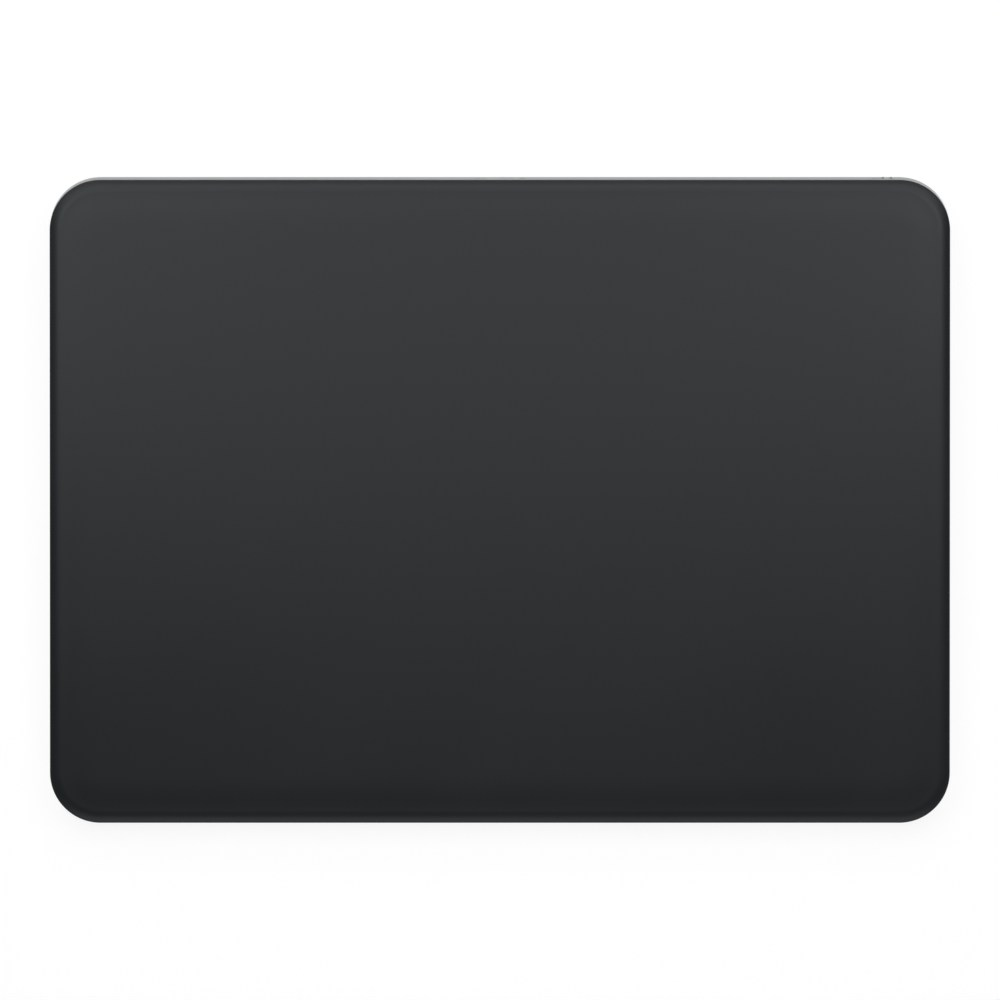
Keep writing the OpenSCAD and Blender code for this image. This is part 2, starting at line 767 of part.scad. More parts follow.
module housing() {
    color("silver") difference() {
        union() {
            difference() {
                housing_outer();
                housing_cavity();
            }
            intersection() {
                on_deck() seats();
                above(foot_h + floor_t / 2);
            }
            on_deck() antenna_ledges();
        }
        on_deck() {
            port_opening();
            switch_slot();
            thread_holes();
        }
        foot_recesses();
    }
}

module rim_gasket() {
    outer = gasket_inset;
    inner = gasket_inset + gasket_w;
    color("black") on_deck() translate([0, 0, rim_z]) linear_extrude(-glass_t - rim_z) difference() {
        rounded_rect(body_w - 2 * outer, glass_d - 2 * outer, corner_r - outer);
        rounded_rect(body_w - 2 * inner, glass_d - 2 * inner, corner_r - inner);
    }
}

module force_spring(sx, sy) {
    notch_r = (beam_w - waist_w) / 2;
    beam_l = spring_tip_y - spring_root_y;
    color("lightsteelblue") on_deck() difference() {
        translate([sx * spring_x, sy * (spring_root_y + beam_l / 2), beam_z])
            linear_extrude(beam_t) rounded_rect(beam_w, beam_l, plate_round);
        for (side = SIDES)
            translate([sx * spring_x + side * beam_w / 2, sy * waist_y, beam_z - beam_t])
                linear_extrude(3 * beam_t) {
                    square([2 * notch_r, waist_l], center = true);
                    for (k = SIDES)
                        translate([0, k * waist_l / 2]) circle(notch_r);
                }
        plate_holes(beam_sites);
    }
}

module strain_gauges() {
    color("goldenrod") on_deck()
        for (sx = SIDES, sy = SIDES)
            chip(sx * spring_x, sy * waist_y, beam_top_z, gauge_w, gauge_l, gauge_t);
}

module foot(sx, sy) {
    color("gainsboro") translate([sx * foot_mid_x, sy * foot_mid_y, 0]) rotate_extrude() {
        square([foot_r - foot_round, foot_round]);
        translate([0, foot_round]) square([foot_r, foot_h + foot_sink - foot_round]);
        intersection() {
            translate([foot_r - foot_round, foot_round]) circle(foot_round);
            translate([foot_r - foot_round, 0]) square(foot_round);
        }
    }
}

module haptic_bracket() {
    bottom = bracket_top_z - bracket_t;
    color("lightgray") on_deck() {
        difference() {
            translate([haptic_x, bracket_y, bottom])
                linear_extrude(bracket_t) rounded_rect(bracket_l, bracket_w, plate_round);
            plate_holes(bracket_sites);
        }
        chip(haptic_x, bracket_y, bracket_top_z, saddle_l, core_w, winding_t);
    }
}

module haptic_core() {
    color("slategray") on_deck()
        chip(haptic_x, bracket_y, bracket_top_z + winding_t, core_l, core_w, core_t);
}

module haptic_coil(side) {
    outer_w = core_w + 2 * winding_t;
    mid_x = haptic_x + side * coil_x;
    color("peru") on_deck() translate([mid_x, bracket_y, bracket_top_z]) difference() {
        chip(0, 0, 0, coil_l, outer_w, coil_h);
        chip(
            0, 0, winding_t - set_clear / 2,
            2 * coil_l, core_w + set_clear, core_t + set_clear
        );
    }
}

module haptic_terminal() {
    color("darkgreen") on_deck()
        chip(
            haptic_x + terminal_x, bracket_y, bracket_top_z,
            terminal_side, terminal_side, socket_top_z - bracket_top_z
        );
}

// An L: from the terminal to the rear beside the battery cell, then right to its socket
module haptic_cable() {
    top = socket_top_z + flex_t;
    turn_y = haptic_socket_y - flex_w / 2;
    color("orange") on_deck() {
        block([cell_cable_x, bracket_y, socket_top_z], [cell_cable_x + flex_w, turn_y + flex_w, top]);
        block(
            [cell_cable_x, turn_y, socket_top_z],
            [left_socket_x + edge_socket_l / 2, turn_y + flex_w, top]
        );
    }
}

module battery_adhesive() {
    color("white")
        translate([cell_x0 + cell_adhesive_inset, cell_y0 + cell_adhesive_inset, floor_z])
            cube([cell_w - 2 * cell_adhesive_inset, cell_d - 2 * cell_adhesive_inset, cell_adhesive_t]);
}

module battery_cell() {
    color("dimgray") translate([cell_x0 + cell_w / 2, cell_y1, cell_z + cell_t / 2])
        rotate([90, 0, 0]) linear_extrude(cell_d) rounded_rect(cell_w, cell_t, cell_round);
}

module battery_board() {
    color("darkgreen") on_deck()
        block(
            [cell_x1, battery_socket_y - guard_d / 2, socket_top_z - guard_h],
            [cell_x1 + guard_w, battery_socket_y + guard_d / 2, socket_top_z]
        );
}

module battery_cable() {
    color("orange") on_deck()
        block(
            [cell_cable_x, battery_socket_y - flex_w / 2, socket_top_z],
            [left_socket_x + edge_socket_l / 2, battery_socket_y + flex_w / 2, socket_top_z + flex_t]
        );
}

module logic_board() {
    color("darkgreen") on_deck() difference() {
        block([board_x0, board_y0, board_top_z - board_t], [board_x1, board_y1, board_top_z]);
        plate_holes(board_sites);
    }
}

module shield_can() {
    inner = can_side - 2 * can_t;
    color("silver") on_deck() difference() {
        chip(can_x, can_y, board_top_z, can_side, can_side, can_h);
        chip(can_x, can_y, board_top_z - can_t, inner, inner, can_h);
    }
}

// A square chip on the logic board
module square_chip(x, y, side, h) {
    color("black") on_deck() chip(x, y, board_top_z, side, side, h);
}

module main_chip() {
    square_chip(can_x - can_chip_offset, can_y + can_chip_offset, main_chip_side, chip_h);
}

module radio_chip() {
    square_chip(can_x + can_chip_offset, can_y - can_chip_offset, radio_chip_side, chip_h);
}

module touch_chip() {
    square_chip(board_x1 - touch_chip_inset, chip_row_y, touch_chip_side, chip_h);
}

module charger_chip() {
    square_chip(board_x0 + charger_inset, chip_row_y, charger_chip_side, chip_h);
}

module power_inductor() {
    square_chip(board_x0 + inductor_inset, chip_row_y, inductor_side, inductor_h);
}

module board_capacitors() {
    color("tan") on_deck()
        for (k = [0 : capacitor_count - 1])
            chip(
                can_x + (k - (capacitor_count - 1) / 2) * capacitor_pitch,
                can_front_y - capacitor_gap, board_top_z,
                capacitor_w, capacitor_l, capacitor_w
            );
}

module board_sockets() {
    color("ivory") on_deck() {
        chip(
            sensor_socket_x, sensor_socket_y, board_top_z,
            sensor_socket_w, sensor_socket_d, socket_h
        );
        for (y = [haptic_socket_y, battery_socket_y, rear_socket_y])
            chip(left_socket_x, y, board_top_z, edge_socket_l, edge_socket_d, socket_h);
        chip(right_socket_x, rear_socket_y, board_top_z, edge_socket_l, edge_socket_d, socket_h);
    }
}

// The loop lies in front of the two sockets and joins the upper lead to the lower one
module sensor_cable() {
    high_z = sensor_z - sensor_socket_h;
    loop_r = (high_z - socket_top_z) / 2;
    lead = sensor_socket_d;
    color("orange") on_deck()
        translate([
            sensor_socket_x - sensor_flex_w / 2,
            sensor_socket_y - sensor_socket_d / 2,
            socket_top_z + loop_r
        ])
            rotate([90, 0, 90]) linear_extrude(sensor_flex_w) {
                difference() {
                    circle(loop_r);
                    circle(loop_r - flex_t);
                    translate([0, -2 * loop_r]) square(4 * loop_r);
                }
                translate([0, loop_r - flex_t]) square([lead, flex_t]);
                translate([0, -loop_r]) square([lead, flex_t]);
            }
}

module antenna() {
    color("dimgray") on_deck() {
        block(
            [antenna_x - antenna_l / 2, antenna_y0, antenna_z],
            [antenna_x + antenna_l / 2, antenna_y1, antenna_top_z]
        );
        block(
            [feed_x - feed_w / 2, feed_y0, antenna_z],
            [feed_x + feed_w / 2, antenna_y0 + feed_t, antenna_z + feed_t]
        );
    }
}

module antenna_clip() {
    clip_h = antenna_z - board_top_z;
    color("gold") on_deck() translate([feed_x, clip_y, board_top_z]) difference() {
        chip(0, 0, 0, clip_w, clip_d, clip_h);
        chip(0, clip_t, clip_t, 2 * clip_w, clip_d, clip_h - 2 * clip_t);
    }
}

module port_sleeve() {
    color("silver") on_deck() translate([0, 0, port_z]) difference() {
        stadium_bar(port_w, port_h, sleeve_y0, mouth_y);
        stadium_bar(port_w - 2 * sleeve_t, port_h - 2 * sleeve_t, sleeve_y0 - sleeve_t, mouth_y + sleeve_t);
    }
}

module port_tongue() {
    bore = 2 * (sleeve_t + set_clear / 2);
    color("black") on_deck() translate([0, 0, port_z]) {
        stadium_bar(port_w - bore, port_h - bore, sleeve_y0, insulator_y1);
        block(
            [-tongue_w / 2, insulator_y1 - tongue_t, -tongue_t / 2],
            [tongue_w / 2, tongue_y1, tongue_t / 2]
        );
    }
}

module port_contacts() {
    tip_y = tongue_y1 - contact_w;
    color("gold") on_deck() translate([0, 0, port_z])
        for (face = SIDES, k = [0 : contact_count - 1])
            chip(
                (k - (contact_count - 1) / 2) * contact_pitch, tip_y - contact_l / 2,
                face > 0 ? tongue_t / 2 : -tongue_t / 2 - contact_t,
                contact_w, contact_l, contact_t
            );
}

module port_board() {
    color("darkgreen") on_deck() difference() {
        block(
            [-port_board_w / 2, port_board_y0, port_board_top_z - board_t],
            [port_board_w / 2, port_board_y1, port_board_top_z]
        );
        plate_holes(port_sites);
    }
}

// A flat cable that lies on a low board, climbs and ends on a socket of the logic board
module stepped_cable(low_end_x, rise_x, high_end_x, y, low_z) {
    toward = high_end_x > rise_x ? 1 : -1;
    y0 = y - flex_w / 2;
    y1 = y + flex_w / 2;
    top = socket_top_z + flex_t;
    rise_x1 = rise_x + toward * flex_t;
    block([min(low_end_x, rise_x1), y0, low_z], [max(low_end_x, rise_x1), y1, low_z + flex_t]);
    block([min(rise_x, rise_x1), y0, low_z], [max(rise_x, rise_x1), y1, top]);
    block([min(rise_x, high_end_x), y0, socket_top_z], [max(rise_x, high_end_x), y1, top]);
}

module port_cable() {
    color("orange") on_deck()
        stepped_cable(
            port_board_w / 2 - port_cable_hold, board_x0 - bend_gap, left_socket_x + edge_socket_l / 2,
            rear_socket_y, port_board_top_z
        );
}

// The knob, its two ridges, the slider plate behind the slot and the stem that works the switch
module switch_knob() {
    color("silver") on_deck() translate([knob_mid_x, 0, port_z]) {
        stadium_bar(knob_l, knob_h, slider_y0, knob_face_y);
        for (x = [-ridge_gap / 2, ridge_gap / 2])
            block([x - ridge_w / 2, slider_y0, -ridge_h / 2], [x + ridge_w / 2, ridge_y1, ridge_h / 2]);
        block([-slider_l / 2, slider_y0, -slider_h / 2], [slider_l / 2, slider_y1, slider_h / 2]);
        block([-stem_w / 2, slider_y0 - stem_l, -stem_w / 2], [stem_w / 2, slider_y1, stem_w / 2]);
    }
}

module switch_film() {
    x = knob_mid_x + slider_l / 2 - film_l / 2;
    color("limegreen") on_deck()
        chip(x, slider_y1 + film_t / 2, port_z - knob_h / 2, film_l, film_t, knob_h);
}

module switch_body() {
    groove_l = stem_w + switch_travel + 2 * switch_gap;
    groove_h = stem_w + 2 * switch_gap;
    color("black") on_deck() translate([switch_x, switch_y1 - switch_d / 2, port_z]) difference() {
        chip(0, 0, -switch_h / 2, switch_l, switch_d, switch_h);
        chip(0, switch_d / 2, -groove_h / 2, groove_l, 2 * stem_l, groove_h);
    }
}

module switch_board() {
    color("darkgreen") on_deck() difference() {
        block(
            [switch_board_x0, switch_board_y0, switch_board_top_z - board_t],
            [switch_board_x1, switch_y1, switch_board_top_z]
        );
        plate_holes(switch_sites);
    }
}

module switch_cable() {
    color("orange") on_deck()
        stepped_cable(
            switch_board_x0 + switch_cable_hold, board_x1 + bend_gap, right_socket_x - edge_socket_l / 2,
            rear_socket_y, switch_board_top_z
        );
}

module small_screws() {
    color("dimgray") on_deck()
        for (s = screw_sites)
            translate([s.x, s.y, s.z]) difference() {
                union() {
                    cylinder(r = screw_head_r, h = screw_head_t);
                    translate([0, 0, -screw_l]) cylinder(r = screw_r, h = screw_l + screw_head_t / 2);
                }
                translate([0, 0, screw_head_t - drive_depth])
                    cylinder(r = drive_r, h = screw_head_t, $fn = 6);
            }
}

touch_glass();
glass_adhesive();
sensor_board();
sensor_socket();
stiffener_plate();
armature(LEFT);  // armature_left
armature(RIGHT);  // armature_right
isolator_pad(LEFT, FRONT);  // isolator_pad_front_left
isolator_pad(RIGHT, FRONT);  // isolator_pad_front_right
isolator_pad(LEFT, REAR);  // isolator_pad_rear_left
isolator_pad(RIGHT, REAR);  // isolator_pad_rear_right
housing();
rim_gasket();
force_spring(LEFT, FRONT);  // force_spring_front_left
force_spring(RIGHT, FRONT);  // force_spring_front_right
force_spring(LEFT, REAR);  // force_spring_rear_left
force_spring(RIGHT, REAR);  // force_spring_rear_right
strain_gauges();
foot(LEFT, FRONT);  // foot_front_left
foot(RIGHT, FRONT);  // foot_front_right
foot(LEFT, REAR);  // foot_rear_left
foot(RIGHT, REAR);  // foot_rear_right
haptic_bracket();
haptic_core();
haptic_coil(LEFT);  // haptic_coil_left
haptic_coil(RIGHT);  // haptic_coil_right
haptic_terminal();
haptic_cable();
battery_adhesive();
battery_cell();
battery_board();
battery_cable();
logic_board();
shield_can();
main_chip();
radio_chip();
touch_chip();
charger_chip();
power_inductor();
board_capacitors();
board_sockets();
sensor_cable();
antenna();
antenna_clip();
port_sleeve();
port_tongue();
port_contacts();
port_board();
port_cable();
switch_knob();
switch_film();
switch_body();
switch_board();
switch_cable();
small_screws();
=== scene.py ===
"""Looks of a low wedge-shaped touch pad with a matte black glass top and a blasted metal housing.

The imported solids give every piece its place. This script adds the pieces whose surface has to be finer
than a solid's facets, gives each piece a finish made of nodes, and sets up a white studio with a camera
that looks almost straight down. Sizes in the classes are in millimetres unless they say otherwise, and
meshes are in metres.
"""

from __future__ import annotations

import json
import logging
import math
from dataclasses import dataclass, field
from enum import Enum

import bmesh
import bpy
import numpy as np
from bpy.types import Material, Mesh, Node, NodeSocket, NodeTree, Object
from mathutils import Matrix, Vector

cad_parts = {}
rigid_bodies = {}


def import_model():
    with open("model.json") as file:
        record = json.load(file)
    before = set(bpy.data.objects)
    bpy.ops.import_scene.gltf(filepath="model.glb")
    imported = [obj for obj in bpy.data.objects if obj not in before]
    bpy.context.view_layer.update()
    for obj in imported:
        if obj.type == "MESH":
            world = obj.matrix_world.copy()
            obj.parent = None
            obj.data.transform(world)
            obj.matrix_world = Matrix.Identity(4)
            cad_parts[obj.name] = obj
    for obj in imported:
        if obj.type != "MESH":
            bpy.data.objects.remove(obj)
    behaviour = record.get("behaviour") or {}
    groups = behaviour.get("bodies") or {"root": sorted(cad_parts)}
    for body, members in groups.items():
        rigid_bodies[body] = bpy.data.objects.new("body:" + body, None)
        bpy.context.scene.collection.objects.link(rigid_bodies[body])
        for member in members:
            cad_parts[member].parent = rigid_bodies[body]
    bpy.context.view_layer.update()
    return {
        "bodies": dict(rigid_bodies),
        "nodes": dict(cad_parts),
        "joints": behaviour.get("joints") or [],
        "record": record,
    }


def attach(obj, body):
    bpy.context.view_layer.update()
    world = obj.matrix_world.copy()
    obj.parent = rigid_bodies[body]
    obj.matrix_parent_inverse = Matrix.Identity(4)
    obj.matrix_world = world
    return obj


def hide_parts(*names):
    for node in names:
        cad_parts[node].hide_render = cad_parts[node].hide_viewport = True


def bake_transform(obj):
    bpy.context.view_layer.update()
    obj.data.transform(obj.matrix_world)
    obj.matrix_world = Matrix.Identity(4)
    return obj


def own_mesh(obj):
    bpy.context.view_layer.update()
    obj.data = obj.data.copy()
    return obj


LOG = logging.getLogger("touch_pad")
MM = 0.001  # metres in a millimetre
NODE_CRISP = 28.0  # angle in degrees above which an edge of a node stays crisp
PIECE_CRISP = 32.0  # the same for a new piece
SOFT_CRISP = 60.0  # the same for a soft or a wound piece
NODE_MERGE = 1e-6  # metres within which two points of a node are one
PIECE_MERGE = 1e-8  # the same for a new piece
END_SHARE = 0.499  # radius of a half round end as a share of the height, so that no run is empty
LAMP_WATTS = 4.0  # watts for each square metre of a lamp whose face looks white
WHITE = (1.0, 1.0, 1.0, 1.0)
# Names of the four corners, with their signs along X and Y
CORNERS = (("front_left", -1, -1), ("front_right", 1, -1), ("rear_left", -1, 1), ("rear_right", 1, 1))

Colour = tuple[float, float, float]
Point = tuple[float, float, float]
Loop = tuple[np.ndarray, np.ndarray]  # points and outward unit normals
Pieces = list[Object]


class Body(str, Enum):
    """Bodies that a piece can ride on."""

    HOUSING = "housing"
    SUSPENSION = "suspension"
    TOUCH_PLATE = "touch_plate"
    POWER_SWITCH = "power_switch"


class Pattern(Enum):
    """Fine relief that a finish carries."""

    GRAIN = "fine_grain"
    BRUSHED = "brushed_lines"
    TRACES = "board_traces"
    LAYERS = "stacked_layers"


@dataclass(frozen=True)
class Deck:
    """Frame of the sloping glass: its XY plane is the top of the glass, with the origin in the middle."""

    front_h: float = 4.9
    rear_h: float = 11.0
    depth: float = 114.5
    edge_drop: float = 0.55
    foot_h: float = 0.5
    crease_h: float = 0.6

    @property
    def tilt(self) -> float:
        """Slope of the glass in radians."""
        return math.asin((self.rear_h - self.front_h) / self.depth)

    @property
    def origin(self) -> tuple[float, float]:
        """Place of the deck's origin along Y and Z, in millimetres."""
        lean = (self.rear_h - self.foot_h - self.crease_h) * math.tan(self.tilt)
        return -(self.edge_drop * math.sin(self.tilt) + lean) / 2, (self.front_h + self.rear_h) / 2

    def place(self, points: np.ndarray) -> np.ndarray:
        """Turns deck points by the slope about X and moves them to the deck's origin.

        Args:
            points: deck points in millimetres, with x, y and z last.

        Returns:
            The same points in the part's frame, in metres.
        """
        y0, z0 = self.origin
        c, s = math.cos(self.tilt), math.sin(self.tilt)
        x, y, z = np.moveaxis(points, -1, 0)
        return np.stack([x, y0 + y * c - z * s, z0 + y * s + z * c], axis=-1) * MM


DECK = Deck()


def rounded_loop(width: float, height: float, radius: float, arc_steps: int, run_steps: int) -> Loop:
    """Outline of a rectangle with round corners, anticlockwise.

    A corner's point is its centre plus the radius times (cos a, sin a) for a over a quarter turn, and
    the straight runs between the corners are divided evenly.

    Args:
        width: size along the first axis.
        height: size along the second axis.
        radius: radius of the corners.
        arc_steps: steps in a quarter turn.
        run_steps: steps in a straight run.

    Returns:
        The loop's points and its outward unit normals.
    """
    turn = np.radians(90 * np.arange(4)[:, None] + np.linspace(0, 90, arc_steps + 1)[None, :])
    normals = np.stack([np.cos(turn), np.sin(turn)], axis=-1)
    signs = np.array([[1, 1], [-1, 1], [-1, -1], [1, -1]], float)
    arcs = (signs * (width / 2 - radius, height / 2 - radius))[:, None, :] + radius * normals
    t = np.linspace(0, 1, run_steps + 1)[1:-1][None, :, None]
    runs = arcs[:, -1:, :] * (1 - t) + np.roll(arcs[:, :1, :], -1, axis=0) * t
    run_normals = np.broadcast_to(normals[:, -1:, :], runs.shape)
    points = np.concatenate([arcs, runs], axis=1).reshape(-1, 2)
    return points, np.concatenate([normals, run_normals], axis=1).reshape(-1, 2)


def stadium_loop(width: float, height: float, arc_steps: int) -> Loop:
    """Outline of a bar with half round ends, as a rounded rectangle whose radius is nearly half its height.

    Args:
        width: length of the bar.
        height: height of the bar.
        arc_steps: steps in a quarter turn.

    Returns:
        The loop's points and its outward unit normals.
    """
    return rounded_loop(width, height, END_SHARE * height, arc_steps, run_steps=2)


def circle_loop(radius: float, steps: int) -> Loop:
    """Circle: the radius times (cos a, sin a) for a over a full turn.

    Args:
        radius: radius of the circle.
        steps: points on the circle.

    Returns:
        The loop's points and its outward unit normals.
    """
    turn = np.linspace(0, 2 * np.pi, steps, endpoint=False)
    normals = np.stack([np.cos(turn), np.sin(turn)], axis=-1)
    return radius * normals, normals


def sweep(loop: Loop, profile: np.ndarray) -> np.ndarray:
    """Carries a profile round a loop: point (i, j) is loop point i moved out by offset j, at height j.

    Args:
        loop: points and outward normals of the loop.
        profile: rows of offset and height.

    Returns:
        A grid of points, one row for each loop point.
    """
    points, normals = loop
    flat = points[:, None, :] + normals[:, None, :] * profile[None, :, :1]
    rise = np.broadcast_to(profile[None, :, 1:], (*flat.shape[:2], 1))
    return np.concatenate([flat, rise], axis=-1)


def arc(centre: tuple[float, float], radius: float, start: float, stop: float, steps: int) -> np.ndarray:
    """Arc of a profile: the centre plus the radius times (sin a, cos a), with a measured from straight up.

    Args:
        centre: offset and height of the arc's centre.
        radius: radius of the arc.
        start: first angle in degrees.
        stop: last angle in degrees.
        steps: steps along the arc.

    Returns:
        Rows of offset and height.
    """
    a = np.radians(np.linspace(start, stop, steps + 1))
    return np.stack([centre[0] + radius * np.sin(a), centre[1] + radius * np.cos(a)], axis=-1)


def lie_along_y(grid: np.ndarray) -> np.ndarray:
    """Turns a swept grid so that its heights run along the deck's Y and its loop lies in X and Z."""
    return grid[..., [0, 2, 1]]


@dataclass
class Surface:
    """Vertices and faces of one piece while it is put together.

    Attributes:
        points: arrays of vertices, in the part's frame and in metres.
        faces: lists of vertex numbers.
    """

    points: list[np.ndarray] = field(default_factory=list)
    faces: list[list[int]] = field(default_factory=list)

    def grid(self, grid: np.ndarray, closed: bool = False) -> Surface:
        """Adds a grid of points as quads, with its last row joined to its first.

        The quad at (i, j) joins (i, j), (i, j + 1), (i + 1, j + 1) and (i + 1, j). Where the columns stay
        open, the first and the last are each closed by a fan of triangles from the middle of their ring.

        Args:
            grid: points in rows and columns, in metres.
            closed: whether the last column is joined to the first too.

        Returns:
            This surface.
        """
        base = sum(len(p) for p in self.points)
        n, m = grid.shape[:2]
        number = base + np.arange(n * m).reshape(n, m)
        here = number if closed else number[:, :-1]
        beside = np.roll(number, -1, axis=1) if closed else number[:, 1:]
        quads = np.stack([here, beside, np.roll(beside, -1, axis=0), np.roll(here, -1, axis=0)], axis=-1)
        self.points.append(grid.reshape(-1, 3))
        self.faces.extend(quads.reshape(-1, 4).tolist())
        if not closed:
            self.points.append(grid[:, [0, -1]].mean(axis=0))
            for hub, ring in ((base + n * m, number[:, 0]), (base + n * m + 1, number[::-1, -1])):
                fan = np.stack([ring, np.roll(ring, -1), np.full(n, hub)], axis=-1)
                self.faces.extend(fan.tolist())
        return self

    def to_object(self, name: str, body: Body, slot: str, crisp: float = PIECE_CRISP) -> Object:
        """Makes the piece and puts it on its body.

        Args:
            name: name of the piece.
            body: body that it rides on.
            slot: material slot of the record; not used.
            crisp: angle in degrees above which an edge stays crisp.

        Returns:
            The new object.
        """
        mesh = bpy.data.meshes.new(name)
        mesh.from_pydata(np.concatenate(self.points).tolist(), [], self.faces)
        obj = add_piece(name, mesh, crisp)
        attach(obj, body.value)
        return obj


def add_piece(name: str, mesh: Mesh, crisp: float = PIECE_CRISP, merge: float = PIECE_MERGE) -> Object:
    """Links a mesh as an object, with merged points, faces that point outwards and smooth shading.

    Args:
        name: name of the object.
        mesh: its mesh, in the part's frame.
        crisp: angle in degrees above which an edge stays crisp.
        merge: distance in metres within which two points are one.

    Returns:
        The new object.
    """
    shape = bmesh.new()
    shape.from_mesh(mesh)
    bmesh.ops.remove_doubles(shape, verts=shape.verts, dist=merge)
    bmesh.ops.recalc_face_normals(shape, faces=shape.faces)
    shape.to_mesh(mesh)
    shape.free()
    mesh.shade_smooth()
    mesh.set_sharp_from_angle(angle=math.radians(crisp))
    obj = bpy.data.objects.new(name, mesh)
    bpy.context.scene.collection.objects.link(obj)
    return obj


def add_node(tree: NodeTree, kind: str, inputs: dict | None = None, **settings: object) -> Node:
    """Adds a node, sets its options, and sets or links its inputs.

    Args:
        tree: node tree that it goes into.
        kind: node type.
        inputs: input name or number to a value, or to the output socket that it is linked to.
        **settings: options of the node.

    Returns:
        The new node.
    """
    node = tree.nodes.new(kind)
    for key, value in settings.items():
        setattr(node, key, value)
    for key, value in (inputs or {}).items():
        if isinstance(value, NodeSocket):
            tree.links.new(value, node.inputs[key])
        else:
            node.inputs[key].default_value = value
    return node


def math_node(tree: NodeTree, operation: str, a: object, b: object) -> NodeSocket:
    """Adds a Math node on two values or sockets and returns its output."""
    return add_node(tree, "ShaderNodeMath", {0: a, 1: b}, operation=operation).outputs[0]


class Effects:
    """Shader node groups that the finishes share, each built once."""

    LINE_STRETCH = (0.02, 1.0, 1.0)  # scales that draw brushed lines out along X
    PATCH_SHARE = 0.12  # scale of the patches against that of the traces
    PATCH_SPLIT = 0.5  # value of a patch above which its traces run along X, and else along Y
    TRACE_EDGE = 0.62  # height of the bands above which there is a trace
    LAYER_WAVER = 0.4  # unevenness of the layers
    DRIFT_SPAN = (0.3, 0.7)  # noise values between which the slow drift is spread

    def __init__(self) -> None:
        """Builds the groups."""
        self.groups = {
            Pattern.GRAIN: self._fine_grain(),
            Pattern.BRUSHED: self._brushed_lines(),
            Pattern.TRACES: self._board_traces(),
            Pattern.LAYERS: self._stacked_layers(),
        }
        self.broad = self._broad_variation()

    @staticmethod
    def _open(name: str, outputs: tuple[str, ...] = ("Height", "Mask")) -> tuple[NodeTree, Node, Node]:
        """Starts a group with a vector and a scale as inputs.

        Args:
            name: name of the group.
            outputs: names of its float outputs.

        Returns:
            The group's tree, its input node and its output node.
        """
        tree = bpy.data.node_groups.new(name, "ShaderNodeTree")
        tree.interface.new_socket("Vector", in_out="INPUT", socket_type="NodeSocketVector")
        tree.interface.new_socket("Scale", in_out="INPUT", socket_type="NodeSocketFloat")
        for output in outputs:
            tree.interface.new_socket(output, in_out="OUTPUT", socket_type="NodeSocketFloat")
        return tree, tree.nodes.new("NodeGroupInput"), tree.nodes.new("NodeGroupOutput")

    def _fine_grain(self) -> NodeTree:
        """Even pits of one size, as blasting or etching leaves them.

        Returns:
            The group.
        """
        tree, source, sink = self._open(Pattern.GRAIN.value)
        noise = add_node(
            tree, "ShaderNodeTexNoise",
            {"Vector": source.outputs[0], "Scale": source.outputs[1], "Detail": 2.0, "Roughness": 0.55},
        )
        tree.links.new(noise.outputs[0], sink.inputs["Height"])
        tree.links.new(noise.outputs[0], sink.inputs["Mask"])
        return tree

    def _brushed_lines(self) -> NodeTree:
        """Long fine lines along X: noise that is stretched along it.

        Returns:
            The group.
        """
        tree, source, sink = self._open(Pattern.BRUSHED.value)
        stretched = add_node(tree, "ShaderNodeMapping", {0: source.outputs[0], 3: self.LINE_STRETCH})
        noise = add_node(
            tree, "ShaderNodeTexNoise",
            {"Vector": stretched.outputs[0], "Scale": source.outputs[1], "Detail": 3.0, "Roughness": 0.6},
        )
        tree.links.new(noise.outputs[0], sink.inputs["Height"])
        tree.links.new(noise.outputs[0], sink.inputs["Mask"])
        return tree

    def _board_traces(self) -> NodeTree:
        """Runs of parallel traces that change direction from patch to patch, as on a routed board.

        Returns:
            The group.
        """
        tree, source, sink = self._open(Pattern.TRACES.value)
        vector, scale = source.outputs[0], source.outputs[1]
        patches = add_node(
            tree, "ShaderNodeTexVoronoi",
            {"Vector": vector, "Scale": math_node(tree, "MULTIPLY", scale, self.PATCH_SHARE)},
            distance="CHEBYCHEV",
        )
        across, along = (
            add_node(tree, "ShaderNodeTexWave", {"Vector": vector, "Scale": scale}, bands_direction=axis)
            for axis in ("X", "Y")
        )
        pick = math_node(tree, "GREATER_THAN", patches.outputs["Color"], self.PATCH_SPLIT)
        mixed = add_node(
            tree, "ShaderNodeMix", {0: pick, 2: across.outputs["Fac"], 3: along.outputs["Fac"]},
            data_type="FLOAT",
        )
        trace = math_node(tree, "GREATER_THAN", mixed.outputs[0], self.TRACE_EDGE)
        tree.links.new(trace, sink.inputs["Height"])
        tree.links.new(trace, sink.inputs["Mask"])
        return tree

    def _stacked_layers(self) -> NodeTree:
        """Thin flat layers one above the other: bands along Z.

        Returns:
            The group.
        """
        tree, source, sink = self._open(Pattern.LAYERS.value)
        wave = add_node(
            tree, "ShaderNodeTexWave",
            {"Vector": source.outputs[0], "Scale": source.outputs[1], "Distortion": self.LAYER_WAVER},
            bands_direction="Z",
        )
        tree.links.new(wave.outputs["Fac"], sink.inputs["Height"])
        tree.links.new(wave.outputs["Fac"], sink.inputs["Mask"])
        return tree

    def _broad_variation(self) -> NodeTree:
        """Slow change over a surface, for handling marks and uneven finish.

        Returns:
            The group.
        """
        tree, source, sink = self._open("broad_variation", ("Mask",))
        noise = add_node(
            tree, "ShaderNodeTexNoise",
            {"Vector": source.outputs[0], "Scale": source.outputs[1], "Detail": 4.0, "Distortion": 0.6},
        )
        low, high = self.DRIFT_SPAN
        spread = add_node(tree, "ShaderNodeMapRange", {0: noise.outputs[0], 1: low, 2: high})
        tree.links.new(spread.outputs[0], sink.inputs["Mask"])
        return tree


